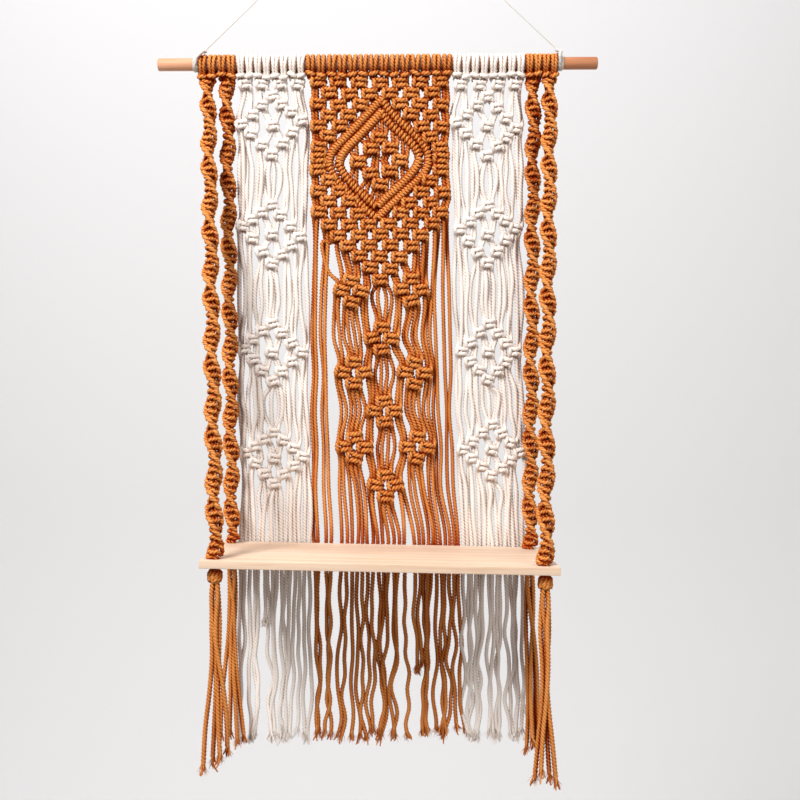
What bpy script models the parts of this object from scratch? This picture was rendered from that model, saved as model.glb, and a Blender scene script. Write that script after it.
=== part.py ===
"""Macrame wall hanging: three knotted cotton panels on a dowel rod, and a shelf board on spiral hangers.

Metres, +Z up, +X to the right as seen from the room, +Y into the wall.
The origin is the top of the hanging twine, where it goes over a nail.
The tables are in millimetres; mm() turns them into metres.
"""
import bmesh
import bpy
from math import cos, hypot, pi, radians, sin, tan
from mathutils import Matrix, Vector


def mm(*values):
    """Millimetres to metres: one number, or a Vector of several."""
    scaled = [0.001 * value for value in values]
    return scaled[0] if len(scaled) == 1 else Vector(scaled)


# ---- driving dimensions --------------------------------------------------------------------------

GAP = mm(0.3)                      # between any two separate pieces
MERGE = mm(0.02)                   # points of one piece nearer than this are one point

ROD_LENGTH = mm(482)
ROD_RADIUS = mm(6.8)
ROD_SIDES = 24
ROD_MIDDLE = mm(-1, 0, -199.5)
ROD_TILT = radians(0.37)           # the right end hangs a little higher

STRAND_RADIUS = mm(2.4)            # of the three-sided strand that stands for a cord
STRAND_SIDES = 3
WRAP_RADIUS = ROD_RADIUS + GAP + mm(4.6)
WRAP_GROOVE = mm(0.9)              # depth of the groove between two wraps
WRAP_ANGLES = (-20, 25, 70, 110, 155, 200)   # where a ring of the wraps has a corner
HEAD_BAR_DROP = (1.12, 1.32)       # how low the bar of a lark's head lies, in wraps' radii: groove, ridge
HEAD_BAR_FRONT = 0.55
HEAD_BAR_BACK = 0.45
BORE_SIDES = 16
HOLE_SIDES = 12

KNOT_HALF_WIDTH = mm(8.7)
KNOT_HALF_HEIGHT = mm(6.8)
KNOT_DEPTH = mm(4.6)
NECK_DEPTH = mm(3.5)               # of a bar between two of its knots
END_TAPER = mm(1.5)                # a bar's end is this much lower, above and below, than its knots
SEAT = mm(3.0)                     # half depth of the flat edge in which strands are fused
RIDGE = mm(0.6)                    # a wide knot's ridges stand this far proud
KNOT_ROW_DROP = mm(28)             # from the rod's axis to the foot of a white panel's first row
HITCH_RIDGE = mm(4.6), mm(5.2)     # half width and depth of a bar of double half hitches
HITCH_GROOVE = mm(3.7), mm(4.0)
RING_NECK = mm(4.4)                # half width between two knots of the ring of eight
COLUMN_END = mm(7)                 # an edge column of the net runs this far past its end knots

BOARD_SIZE = mm(350, 150, 8)
BOARD_MIDDLE_X = mm(2.5)
BOARD_BACK = mm(-4.5)              # clear of the strands that hang behind it
BOARD_TOP = mm(-726.7)             # at its middle
BOARD_TILT = radians(1.25)         # the left end hangs a little higher
HOLE_INSET = mm(13.5)
STEM_RADIUS = mm(4.6)

SINNET_WIDTH = mm(17.5)            # of a spiral hanger, across its flat
SINNET_THICKNESS = mm(9.5)
SINNET_HALF_TURNS = 14
RINGS_A_HALF_TURN = 3
SINNET_SIDES = 6
SINNET_CROWN = 1.1                 # its flat is this much fuller than an ellipse
SINNET_DROP = mm(9.5)              # from the rod's axis to the first half knot
SINNET_FORWARD = mm(-2.5)
SINNET_FOOT = mm(7)                # last half knot above the board
STEM_TOP = mm(4.5)                 # the round stem begins this far above the board

TWINE_RADIUS = mm(0.9)
TWINE_BEVEL = 2                    # gives eight sides
TWINE_TIE_WIDTH = mm(3.2)
TWINE_TIE_OUT = mm(2.0)            # from the outermost wrap to the middle of the tie
TWINE_TIE_SIDES = 16
TWINE_KNOT_CLEARANCE = mm(1.5)     # it rises this far above the wraps before it slants
NAIL_BEND = mm(2)                  # radius of the twine's bend over the nail
NAIL_BEND_STEPS = 3

ORANGE = (0.55, 0.21, 0.045, 1)
WHITE = (0.82, 0.79, 0.74, 1)
PINE = (0.80, 0.62, 0.42, 1)
DOWEL = (0.50, 0.25, 0.12, 1)


# ---- tables --------------------------------------------------------------------------------------

# Where each piece sits on the rod: left end, right end, wraps. All in mm along X.
HEADERS = {
    "hanger_front_left": (-198.0, -177.3, 4),
    "hanger_back_left": (-177.0, -156.1, 4),
    "left_white_panel": (-155.8, -80.7, 16),
    "centre_panel": (-80.4, 80.2, 28),
    "right_white_panel": (80.5, 160.4, 16),
    "hanger_back_right": (160.7, 178.3, 4),
    "hanger_front_right": (178.6, 196.3, 4),
}

# Diamonds of the white panels: middle x, middle z, half width, half height,
# and how far the left and right corners sit above the middle.
WHITE_DIAMONDS = {
    "left_white_panel": (
        (-117.0, -268, 33.0, 32, 1.5, 5.5),
        (-117.5, -387, 31.5, 32, 9.0, -3.0),
        (-116.5, -516, 32.0, 32, 4.0, 0.0),
        (-114.5, -632, 31.5, 28, 5.5, 1.5),
    ),
    "right_white_panel": (
        (118.5, -268, 33.0, 32, 3.5, -3.0),
        (119.5, -387, 30.5, 32, 5.5, 6.0),
        (120.5, -516, 29.5, 31, 1.0, 0.0),
        (124.0, -623, 31.5, 28, 0.0, -3.0),
    ),
}
DIAMOND_COLUMNS = 3                # of knots on either side of a diamond's middle column
DIAMOND_TIP = mm(7.0)              # from the middle of a corner knot to the diamond's tip
TIP_TAPER = mm(2)
# Strands of a white panel: height and pitch where they leave the header, and their pitch in the diamonds.
WHITE_START = (-218, 4.6)
WHITE_PITCH = 4.9
WHITE_FRINGE = {                   # middle x and pitch
    "left_white_panel": (-114.5, 5.0),
    "right_white_panel": (127.5, 4.6),
}

# The net of the centre panel: rows of knots, seven and six by turns, that end in a point.
NET_TOP = -220.4
NET_ROW_PITCH = 11.95
NET_ROWS = 19
NET_MIDDLE = 1.5
NET_PITCH = 22.4                   # between two knots of a row
NET_FULL_ROWS = 14                 # below these each row is one knot shorter
NET_COLUMN_ROWS = (7, 9)           # the edge knots stand right above each other here
# Diamonds of double half hitches: top, left, bottom, right, as x and z; ridges a side.
OUTER_DIAMOND = ((3.5, -237.5), (-54, -307), (1, -371), (54, -299)), 5
INNER_DIAMOND = ((3, -252.5), (-42, -306), (0.5, -358.5), (41.5, -300)), 4
NET_MARGIN = 1.1                   # a net knot lies outside this many outer diamonds
# Ring of eight square knots in the middle of the diamonds, from its top round by the left.
RING_KNOTS = ((1, -280.5), (-9, -293), (-24, -307), (-9, -319.5),
              (1, -331), (11.5, -317), (23.5, -305), (13, -292))
RING_MIDDLE = (0.5, -305.5)
SPOKE_FAN = 14                     # degrees either way of a slanting pair of spokes
# Flowers of four square knots: middle x and z.
FLOWERS = ((-29.7, -450), (35.7, -448), (3.5, -501.5), (-27.5, -538.5), (39.5, -539),
           (6.5, -581), (-26.5, -620.5), (42, -621), (7.7, -662))
# A flower from side to side: how far out, half its height there, and the depth of its middle there.
FLOWER_RINGS = ((-18, 5.0, 3.8), (-12, 8.5, 4.6), (0, 18.8, 2.1), (12, 8.5, 4.6), (18, 5.0, 3.8))

CENTRE_STRANDS = 28
# The centre panel's strands below the net: height, then x of some strands. The rest lie evenly between.
CENTRE_LEVELS = (
    (-450, {1: -73, 4: -59.5, 5: -46, 12: -13.5, 17: 19.5, 24: 52, 25: 57, 26: 61.5, 27: 71, 28: 76}),
    (-501.5, {1: -73, 4: -59.5, 5: -48.5, 10: -21, 11: -13, 18: 20, 19: 26.5,
              24: 52, 25: 57, 26: 61.5, 27: 72, 28: 77}),
    (-538.5, {1: -72, 4: -58, 5: -44, 12: -11, 17: 23, 24: 56, 25: 60.5, 26: 65, 27: 73, 28: 78}),
    (-581, {1: -73, 4: -57.5, 5: -42, 10: -16, 11: -10, 18: 23, 19: 29,
            24: 54, 25: 60.5, 26: 65, 27: 73.5, 28: 78}),
    (-620.5, {1: -72, 4: -57, 5: -43, 12: -10, 17: 25.5, 24: 58.5, 25: 63, 26: 67.5, 27: 75, 28: 79.5}),
    (-662, {1: -72, 4: -55, 5: -44, 10: -16, 11: -9, 18: 24, 19: 35,
            24: 59.5, 25: 64, 26: 68.5, 27: 76.5, 28: 81}),
    (-723, {1: -70.5, 4: -53, 5: -41, 17: 27.5, 18: 39.5, 28: 87}),
)
# The strands that bend at each of these levels; the others run straight past it.
ALL_STRANDS = range(1, CENTRE_STRANDS + 1)
OUTER_FLOWER_STRANDS = (5, 6, 7, 8, 9, 10, 11, 12, 17, 18, 19, 20, 21, 22, 23, 24)
MIDDLE_FLOWER_STRANDS = range(11, 19)
STRANDS_AT = (ALL_STRANDS, MIDDLE_FLOWER_STRANDS, OUTER_FLOWER_STRANDS, MIDDLE_FLOWER_STRANDS,
              ALL_STRANDS, MIDDLE_FLOWER_STRANDS, ALL_STRANDS)

FRINGE_TOP = -735                  # just under the board
FRINGE_END = -931
FRINGE_UNEVEN = 7                  # how far an end may lie above or below that

# Tassels: hanger, then x, y and z of the four ends.
TASSEL_ENDS = {
    "front_left": ((-168, -143, -925), (-161, -137, -921), (-154, -144, -914), (-147, -139, -910)),
    "back_left": ((-170, -19, -930), (-163, -15, -927), (-155, -21, -935), (-147.5, -16, -934)),
    "back_right": ((160.5, -18, -944), (165.5, -22, -936), (170.5, -15, -940), (176, -19, -942)),
    "front_right": ((156.5, -142, -937), (161.5, -146, -930), (167, -139, -935), (172.5, -143, -940)),
}
TASSEL_HEAD_HEIGHT = mm(14)
TASSEL_HEAD_RADIUS = mm(6.6)
TASSEL_HEAD_SIDES = 8
TASSEL_HEAD_FLATNESS = 0.85        # front to back, against side to side
# The knotted head: share of its height, share of its radius.
TASSEL_HEAD_RINGS = ((0, 0.72), (0.12, 0.95), (0.35, 1.0), (0.52, 0.82),
                     (0.68, 0.98), (0.9, 0.9), (1.0, 0.62))
TASSEL_ROOTS = ((-2.0, -1.8), (2.0, 1.8), (2.0, -1.8), (-2.0, 1.8))   # x and y of the four strands' roots
TASSEL_ROOT_DEPTH = 0.75           # share of the head's height
TASSEL_BENDS = (0.3, 0.65)         # where along its length a strand bends
TASSEL_SWAY = 1.5


# ---- small helpers -------------------------------------------------------------------------------

def rod_height(x):
    """Height of the rod's axis at x."""
    return ROD_MIDDLE.z + (x - ROD_MIDDLE.x) * tan(ROD_TILT)


def board_top(x):
    """Height of the board's top face at x."""
    return BOARD_TOP - (x - BOARD_MIDDLE_X) * tan(BOARD_TILT)


def uneven(index, low=-1.0, high=1.0):
    """A fixed, irregular number for each index."""
    return low + (high - low) * ((sin(12.9898 * index + 4.1) * 43758.5453) % 1.0)


def material(name, colour, roughness):
    made = bpy.data.materials.new(name)
    made.use_nodes = True
    shader = made.node_tree.nodes["Principled BSDF"]
    shader.inputs["Base Color"].default_value = colour
    shader.inputs["Roughness"].default_value = roughness
    shader.inputs["Metallic"].default_value = 0
    return made


def collection(name):
    made = bpy.data.collections.new(name)
    bpy.context.scene.collection.children.link(made)
    return made


def mesh_object(name, work, group):
    """Make an object of a bmesh, its faces pointing out."""
    bmesh.ops.recalc_face_normals(work, faces=work.faces[:])
    mesh = bpy.data.meshes.new(name)
    work.to_mesh(mesh)
    work.free()
    made = bpy.data.objects.new(name, mesh)
    group.objects.link(made)
    return made


def loft(name, rings, group, closed=False):
    """Join rings of equally many points into a tube, capped at its ends or closed on itself."""
    work = bmesh.new()
    loops = [[work.verts.new(point) for point in ring] for ring in rings]
    pairs = list(zip(loops, loops[1:]))
    if closed:
        pairs.append((loops[-1], loops[0]))
    else:
        work.faces.new(loops[0])
        work.faces.new(loops[-1])
    for one, other in pairs:
        count = len(one)
        for index in range(count):
            after = (index + 1) % count
            work.faces.new((one[index], one[after], other[after], other[index]))
    return mesh_object(name, work, group)


# ---- bars of knots -------------------------------------------------------------------------------

# Section of a bar across its length: share of its half width, share of its depth. The back is flatter.
BAR_SECTION = ((1.0, -0.3), (0.0, -1.0), (-1.0, -0.3), (-0.7, 0.75), (0.7, 0.75))


def bar_ring(middle, across, half_width, depth):
    """One ring of a bar: across lies in the panel's plane and Y points through it."""
    return [middle + across * (share * half_width) + Vector((0, through * depth, 0))
            for share, through in BAR_SECTION]


def knot_reach(across):
    """Half size of a square knot in a direction of the panel's plane."""
    return hypot(across.x * KNOT_HALF_WIDTH, across.z * KNOT_HALF_HEIGHT)


def bar_along(name, points, group, sizes, closed=False):
    """A bar through points in the panel's plane; sizes gives half width (None: a knot's) and depth."""
    rings = []
    last = len(points) - 1
    for index, point in enumerate(points):
        before = points[index - 1] if closed or index > 0 else point
        after = points[(index + 1) % len(points)] if closed or index < last else point
        along = (after - before).normalized()
        across = Vector((-along.z, 0, along.x))
        half_width, depth = sizes[index]
        rings.append(bar_ring(point, across, half_width or knot_reach(across), depth))
    return loft(name, rings, group, closed)


def ring_of_knots(name, knots, neck_half_width, group):
    """A closed bar with a knot at each given place and a neck between two knots."""
    points = []
    sizes = []
    for index, knot in enumerate(knots):
        after = knots[(index + 1) % len(knots)]
        points += [knot, (knot + after) / 2]
        sizes += [(None, KNOT_DEPTH), (neck_half_width, NECK_DEPTH)]
    return bar_along(name, points, group, sizes, closed=True)


def ridged_diamond(name, corners, ridges, group):
    """A closed bar of double half hitches along a diamond, with a few ridges a side."""
    corners = [mm(x, 0, z) for x, z in corners]
    points = []
    sizes = []
    for corner, following in zip(corners, corners[1:] + corners[:1]):
        for step in range(2 * ridges):
            points.append(corner.lerp(following, step / (2 * ridges)))
            sizes.append(HITCH_GROOVE if step % 2 else HITCH_RIDGE)
    return bar_along(name, points, group, sizes, closed=True)


def zigzag_bar(name, knots, group):
    """Knots of two neighbouring rows as one bar, fused at the corners where they meet."""
    def upright(x, z, half_height, depth):
        return bar_ring(Vector((x, 0, z)), Vector((0, 0, 1)), half_height, depth)

    first, last = knots[0], knots[-1]
    rings = [upright(first.x - KNOT_HALF_WIDTH, first.z, KNOT_HALF_HEIGHT - END_TAPER, NECK_DEPTH)]
    for one, other in zip(knots, knots[1:]):
        meeting = (one.z + other.z) / 2
        reach = abs(one.z - other.z) / 2 + KNOT_HALF_HEIGHT
        rings.append(upright(one.x, one.z, KNOT_HALF_HEIGHT, KNOT_DEPTH))
        rings.append(upright((one.x + other.x) / 2, meeting, reach, NECK_DEPTH))
    rings.append(upright(last.x, last.z, KNOT_HALF_HEIGHT, KNOT_DEPTH))
    rings.append(upright(last.x + KNOT_HALF_WIDTH, last.z, KNOT_HALF_HEIGHT - END_TAPER, NECK_DEPTH))
    return loft(name, rings, group)


def wide_ring(middle, reach, ridge_depth, ridge_height, middle_depth):
    """One ring of a tall group of knots: flat behind and at its edges, two ridges and a hollow in front."""
    front = ((-SEAT, reach), (-ridge_depth, ridge_height), (-middle_depth, 0),
             (-ridge_depth, -ridge_height), (-SEAT, -reach))
    return [middle + Vector((0, y, z)) for y, z in ((SEAT, reach), *front, (SEAT, -reach))]


def diamond_of_knots(name, diamond, group):
    """Thirteen square knots in a diamond, as one bar with a ridge for each column of knots."""
    x, z, half_width, half_height, left_up, right_up = [mm(value) for value in diamond]
    rings = []
    for step in range(-DIAMOND_COLUMNS - 1, DIAMOND_COLUMNS + 2):
        side = 1 if step > 0 else -1
        share = min(1, abs(step) / DIAMOND_COLUMNS)
        middle = Vector((x + side * half_width * share, 0, z + share * (left_up if step < 0 else right_up)))
        reach = KNOT_HALF_HEIGHT + half_height * (1 - share)
        depth = NECK_DEPTH if step % 2 else KNOT_DEPTH
        if abs(step) > DIAMOND_COLUMNS:
            middle.x += side * DIAMOND_TIP
            reach -= TIP_TAPER
            depth = NECK_DEPTH
        rings.append(wide_ring(middle, reach, depth + RIDGE, 0.5 * reach, 0.8 * depth))
    return loft(name, rings, group)


def flower(name, x, z, group):
    """Four square knots round a dimple, as one bar."""
    rings = []
    for aside, reach, middle_depth in FLOWER_RINGS:
        rings.append(wide_ring(mm(x + aside, 0, z), mm(reach), KNOT_DEPTH + RIDGE, mm(0.6 * reach),
                               mm(middle_depth)))
    return loft(name, rings, group)


def header(name, left, right, wraps, group, skirt=0.0):
    """The lark's heads of a piece round the rod: a ridge for each, and a bar under it in front.

    With a skirt, a first row of knots hangs from it as part of the same bar.
    """
    heads = wraps // 2
    steps = 2 * heads
    rings = []
    for step in range(steps + 1):
        x = left + (right - left) * step / steps
        ridge = step % 2
        radius = WRAP_RADIUS if ridge else WRAP_RADIUS - WRAP_GROOVE
        outline = [(radius * cos(radians(angle)), radius * sin(radians(angle))) for angle in WRAP_ANGLES]
        if skirt:
            front = KNOT_DEPTH if ridge else NECK_DEPTH
            outline += [(-front, -radius), (-front, -skirt), (NECK_DEPTH, -skirt), (NECK_DEPTH, -radius)]
        else:
            low = radius * HEAD_BAR_DROP[ridge]
            outline += [(-radius * HEAD_BAR_FRONT, -low), (radius * HEAD_BAR_BACK, -low)]
        rings.append([Vector((x, y, rod_height(x) + z)) for y, z in outline])
    return loft(name, rings, group)


# ---- strands -------------------------------------------------------------------------------------

def strand_profile(group):
    """The outline that the strands' curves are bevelled with."""
    curve = bpy.data.curves.new("strand_profile", "CURVE")
    curve.dimensions = "2D"
    spline = curve.splines.new("POLY")
    spline.points.add(STRAND_SIDES - 1)
    for index, point in enumerate(spline.points):
        angle = 2 * pi * index / STRAND_SIDES
        point.co = (STRAND_RADIUS * cos(angle), STRAND_RADIUS * sin(angle), 0, 1)
    spline.use_cyclic_u = True
    made = bpy.data.objects.new("strand_profile", curve)
    group.objects.link(made)
    hide_guide(made)
    return made


def hide_guide(made):
    made.hide_render = True
    made.display_type = "WIRE"


def tube(name, route, group, profile=None, radius=0.0):
    """A capped tube along a route of points, as a mesh object."""
    curve = bpy.data.curves.new(name + "_curve", "CURVE")
    curve.dimensions = "3D"
    curve.use_fill_caps = True
    if profile:
        curve.bevel_mode = "OBJECT"
        curve.bevel_object = profile
    else:
        curve.bevel_depth = radius
        curve.bevel_resolution = TWINE_BEVEL
    spline = curve.splines.new("POLY")
    spline.points.add(len(route) - 1)
    for point, place in zip(spline.points, route):
        point.co = (*place, 1)
    drawn = bpy.data.objects.new(name + "_curve", curve)
    group.objects.link(drawn)
    bpy.context.view_layer.update()
    mesh = bpy.data.meshes.new_from_object(drawn.evaluated_get(bpy.context.evaluated_depsgraph_get()))
    work = bmesh.new()
    work.from_mesh(mesh)
    bmesh.ops.remove_doubles(work, verts=work.verts[:], dist=MERGE)
    made = mesh_object(name, work, group)
    made.matrix_world = drawn.matrix_world
    bpy.data.objects.remove(drawn)
    bpy.data.meshes.remove(mesh)
    return made


def strands(name, routes, group, profile):
    """A tube for each route; each is an object of its own, because strands that cross may overlap."""
    for number, route in enumerate(routes):
        tube(f"{name}_{number}", route, group, profile=profile)


def evenly(anchors, count):
    """x of every strand from the few that a level names."""
    named = sorted(anchors)
    places = []
    for strand in range(1, count + 1):
        lower = max(number for number in named if number <= strand)
        upper = min(number for number in named if number >= strand)
        share = 0 if upper == lower else (strand - lower) / (upper - lower)
        places.append(anchors[lower] + share * (anchors[upper] - anchors[lower]))
    return places


def white_strands(panel):
    """Routes of a white panel's sixteen strands, from its header to their cut ends."""
    left, right, wraps = HEADERS[panel]
    start_z, start_pitch = WHITE_START
    fringe_middle, fringe_pitch = WHITE_FRINGE[panel]
    routes = []
    for index in range(wraps):
        from_middle = index - (wraps - 1) / 2
        route = [((left + right) / 2 + from_middle * start_pitch, start_z)]
        for x, z, *_ in WHITE_DIAMONDS[panel]:
            route.append((x + from_middle * WHITE_PITCH, z))
        fringe_x = fringe_middle + from_middle * fringe_pitch
        seed = index + wraps * list(WHITE_FRINGE).index(panel)
        route.append((fringe_x, FRINGE_TOP))
        route.append((fringe_x + uneven(seed), FRINGE_END + FRINGE_UNEVEN * uneven(seed + 0.5)))
        routes.append([mm(x, 0, z) for x, z in route])
    return routes


def net_knot_x(row, column):
    """x of a knot of the net; rows and columns count from 1."""
    knots = net_row_length(row)
    return NET_MIDDLE + (column - (knots + 1) / 2) * NET_PITCH


def net_row_length(row):
    if row <= NET_FULL_ROWS:
        return 7 if row % 2 else 6
    return NET_ROWS + 1 - row


def net_row_z(row):
    return NET_TOP - (row - 1) * NET_ROW_PITCH


def net_knot_stays(x, z):
    """Whether a knot of the net lies outside the diamond of double half hitches."""
    (top_x, top_z), (left_x, _), (_, bottom_z), (right_x, _) = OUTER_DIAMOND[0]
    middle_x = (left_x + right_x) / 2
    middle_z = (top_z + bottom_z) / 2
    share = abs(x - middle_x) / ((right_x - left_x) / 2) + abs(z - middle_z) / ((top_z - bottom_z) / 2)
    return share > NET_MARGIN


def net_bars(group):
    """The net as zigzag bars, each of two rows of knots, and its straight edge columns."""
    first_column_row, last_column_row = NET_COLUMN_ROWS
    upper_rows = range(1, first_column_row, 2)
    lower_rows = range(last_column_row + 1, NET_ROWS, 2)
    for row in (*upper_rows, *lower_rows):
        knots = [(net_knot_x(level, column), net_row_z(level))
                 for level in (row, row + 1) for column in range(1, net_row_length(level) + 1)]
        knots = sorted(knot for knot in knots if net_knot_stays(*knot))
        runs = [[knots[0]]]
        for knot in knots[1:]:
            if knot[0] - runs[-1][-1][0] > 0.8 * NET_PITCH:
                runs.append([])
            runs[-1].append(knot)
        for number, run in enumerate(runs):
            zigzag_bar(f"net_{row}_{number}", [mm(x, 0, z) for x, z in run], group)
    for side in (1, 7):
        x = net_knot_x(first_column_row, side)
        top = net_row_z(first_column_row)
        bottom = net_row_z(last_column_row)
        steps = 2 * (last_column_row - first_column_row)
        knot = (None, KNOT_DEPTH)
        neck = (KNOT_HALF_WIDTH - END_TAPER, NECK_DEPTH)
        points = [mm(x, 0, top + (bottom - top) * step / steps) for step in range(steps + 1)]
        sizes = [neck if step % 2 else knot for step in range(steps + 1)]
        past = Vector((0, 0, COLUMN_END))
        points = [points[0] + past, *points, points[-1] - past]
        bar_along(f"net_column_{side}", points, group, [neck, *sizes, neck])


def strand_leaves_net(strand):
    """x and z where a strand of the centre panel comes out of the net's pointed edge."""
    from_edge = min(strand, CENTRE_STRANDS + 1 - strand)
    row = NET_FULL_ROWS + (from_edge - 3) // 2
    return NET_MIDDLE + (strand - (CENTRE_STRANDS + 1) / 2) * NET_PITCH / 4, net_row_z(row)


def centre_strands():
    """Routes of the centre panel's twenty-eight strands below the net."""
    levels = [(z, evenly(anchors, CENTRE_STRANDS), bending)
              for (z, anchors), bending in zip(CENTRE_LEVELS, STRANDS_AT)]
    routes = []
    for strand in ALL_STRANDS:
        route = [strand_leaves_net(strand)]
        route += [(places[strand - 1], z) for z, places, bending in levels if strand in bending]
        end_x = route[-1][0] + uneven(strand + CENTRE_STRANDS)
        route.append((end_x, FRINGE_END + FRINGE_UNEVEN * uneven(strand + 0.5)))
        routes.append([mm(x, 0, z) for x, z in route])
    return routes


def spokes():
    """Short strands between the ring of eight knots and the diamond of bars round it."""
    (_, top), (left, _), (_, bottom), (right, _) = INNER_DIAMOND[0]
    middle = Vector(RING_MIDDLE)
    routes = []
    for index, knot in enumerate(RING_KNOTS):
        for turn in (-SPOKE_FAN, SPOKE_FAN) if index % 2 else (0,):
            away = Vector(knot) - middle
            away.rotate(Matrix.Rotation(radians(turn), 2))
            to_bar = 1 / (abs(away.x) / ((right - left) / 2) + abs(away.y) / ((top - bottom) / 2))
            end = middle + away * to_bar
            routes.append([mm(knot[0], 0, knot[1]), mm(end.x, 0, end.y)])
    return routes


# ---- joining -------------------------------------------------------------------------------------

def rod_bore(group):
    """Cutter for the way of the rod through what is wrapped round it."""
    bpy.ops.mesh.primitive_cylinder_add(
        vertices=BORE_SIDES, radius=(ROD_RADIUS + GAP) / cos(pi / BORE_SIDES), depth=ROD_LENGTH * 1.1,
        location=ROD_MIDDLE, rotation=(0, pi / 2 - ROD_TILT, 0))
    return adopt("rod_bore", group, guide=True)


def adopt(name, group, guide=False):
    """Take the object that an operator has just added into a collection."""
    made = bpy.context.object
    made.name = name
    for old in list(made.users_collection):
        old.objects.unlink(made)
    group.objects.link(made)
    if guide:
        hide_guide(made)
    return made


def fuse(base, pieces_group, bore=None):
    """Join every piece of a collection to a base solid, then cut the rod's way."""
    for piece in pieces_group.objects:
        hide_guide(piece)
    union = base.modifiers.new("fused", "BOOLEAN")
    union.operation = "UNION"
    union.operand_type = "COLLECTION"
    union.collection = pieces_group
    union.solver = "EXACT"
    if bore:
        cut = base.modifiers.new("rod_way", "BOOLEAN")
        cut.operation = "DIFFERENCE"
        cut.object = bore
        cut.solver = "EXACT"
    return base


def finish(made, look):
    made.data.materials.append(look)
    made.data.shade_smooth()
    made.data.set_sharp_from_angle(angle=radians(50))


# ---- the pieces ----------------------------------------------------------------------------------

def make_rod(parts, look):
    bpy.ops.mesh.primitive_cylinder_add(
        vertices=ROD_SIDES, radius=ROD_RADIUS, depth=ROD_LENGTH,
        location=ROD_MIDDLE, rotation=(0, pi / 2 - ROD_TILT, 0))
    rod = adopt("rod", parts)
    edge = rod.modifiers.new("worn_edge", "BEVEL")
    edge.width = mm(0.6)
    edge.segments = 1
    edge.limit_method = "ANGLE"
    edge.angle_limit = radians(60)
    finish(rod, look)


def hole_places():
    """Where the four hangers go through the board: x and y by name."""
    half_x = BOARD_SIZE.x / 2 - HOLE_INSET
    front = BOARD_BACK - BOARD_SIZE.y + HOLE_INSET
    back = BOARD_BACK - HOLE_INSET
    return {
        "front_left": (BOARD_MIDDLE_X - half_x, front),
        "back_left": (BOARD_MIDDLE_X - half_x, back),
        "back_right": (BOARD_MIDDLE_X + half_x, back),
        "front_right": (BOARD_MIDDLE_X + half_x, front),
    }


def make_board(parts, cutters, look):
    middle = Vector((BOARD_MIDDLE_X, BOARD_BACK - BOARD_SIZE.y / 2, BOARD_TOP - BOARD_SIZE.z / 2))
    bpy.ops.mesh.primitive_cube_add(size=1, location=middle, rotation=(0, BOARD_TILT, 0))
    board = adopt("shelf_board", parts)
    board.data.transform(Matrix.Diagonal((*BOARD_SIZE, 1)))
    for name, (x, y) in hole_places().items():
        bpy.ops.mesh.primitive_cylinder_add(
            vertices=HOLE_SIDES, radius=(STEM_RADIUS + 2 * GAP) / cos(pi / HOLE_SIDES),
            depth=BOARD_SIZE.z * 4, location=(x, y, board_top(x)))
        hole = adopt("hole_" + name, cutters, guide=True)
        cut = board.modifiers.new("hole_" + name, "BOOLEAN")
        cut.operation = "DIFFERENCE"
        cut.object = hole
        cut.solver = "EXACT"
    finish(board, look)


def sinnet_rings(start, end, bottom):
    """Rings of a spiral of half knots, a flat bar that turns, then a round stem through the board."""
    steps = SINNET_HALF_TURNS * RINGS_A_HALF_TURN
    along = (end - start).normalized()
    side = Vector((0, 1, 0)).cross(along).normalized()
    front = along.cross(side)
    corners = [2 * pi * corner / SINNET_SIDES for corner in range(SINNET_SIDES)]
    rings = []
    for step in range(steps + 1):
        middle = start.lerp(end, step / steps)
        turn = -pi * step / RINGS_A_HALF_TURN
        near_end = min(1.0, (steps - step) / RINGS_A_HALF_TURN)
        width = SINNET_THICKNESS + (SINNET_WIDTH - SINNET_THICKNESS) * near_end
        ring = []
        for angle in corners:
            across = width / 2 * cos(angle)
            through = SINNET_CROWN * SINNET_THICKNESS / 2 * sin(angle)
            ring.append(middle + side * (across * cos(turn) - through * sin(turn))
                        + front * (across * sin(turn) + through * cos(turn)))
        rings.append(ring)
    for z in (end.z - SINNET_FOOT + STEM_TOP, bottom):
        middle = Vector((end.x, end.y, z))
        rings.append([middle + side * STEM_RADIUS * cos(angle) + Vector((0, -STEM_RADIUS * sin(angle), 0))
                      for angle in corners])
    return rings


def make_hanger(name, parts, group, bore, look):
    piece = "hanger_" + name
    left, right, wraps = HEADERS[piece]
    base = header(piece, mm(left), mm(right), wraps, parts)
    middle = mm((left + right) / 2)
    x, y = hole_places()[name]
    start = Vector((middle, SINNET_FORWARD, rod_height(middle) - SINNET_DROP))
    end = Vector((x, y, board_top(x) + SINNET_FOOT))
    bottom = board_top(x) - BOARD_SIZE.z - 2 * GAP
    loft(piece + "_sinnet", sinnet_rings(start, end, bottom), group)
    fuse(base, group, bore)
    finish(base, look)


def make_tassel(name, parts, group, profile, look):
    piece = "tassel_" + name
    x, y = hole_places()[name]
    top = board_top(x) - BOARD_SIZE.z - 3 * GAP
    turns = [2 * pi * corner / TASSEL_HEAD_SIDES for corner in range(TASSEL_HEAD_SIDES)]
    rings = []
    for share, size in TASSEL_HEAD_RINGS:
        radius = TASSEL_HEAD_RADIUS * size
        rings.append([Vector((x + radius * cos(turn), y + TASSEL_HEAD_FLATNESS * radius * sin(turn),
                              top - TASSEL_HEAD_HEIGHT * share)) for turn in turns])
    base = loft(piece, rings, parts)
    routes = []
    for index, (root, end) in enumerate(zip(TASSEL_ROOTS, TASSEL_ENDS[name])):
        start = Vector((x + mm(root[0]), y + mm(root[1]), top - TASSEL_HEAD_HEIGHT * TASSEL_ROOT_DEPTH))
        end = mm(*end)
        route = [start]
        for share in TASSEL_BENDS:
            sway = mm(TASSEL_SWAY * uneven(index + 10 * len(name) + share))
            route.append(start.lerp(end, share) + Vector((sway, 0, 0)))
        route.append(end)
        routes.append(route)
    strands(piece + "_strand", routes, group, profile)
    fuse(base, group)
    finish(base, look)


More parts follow.
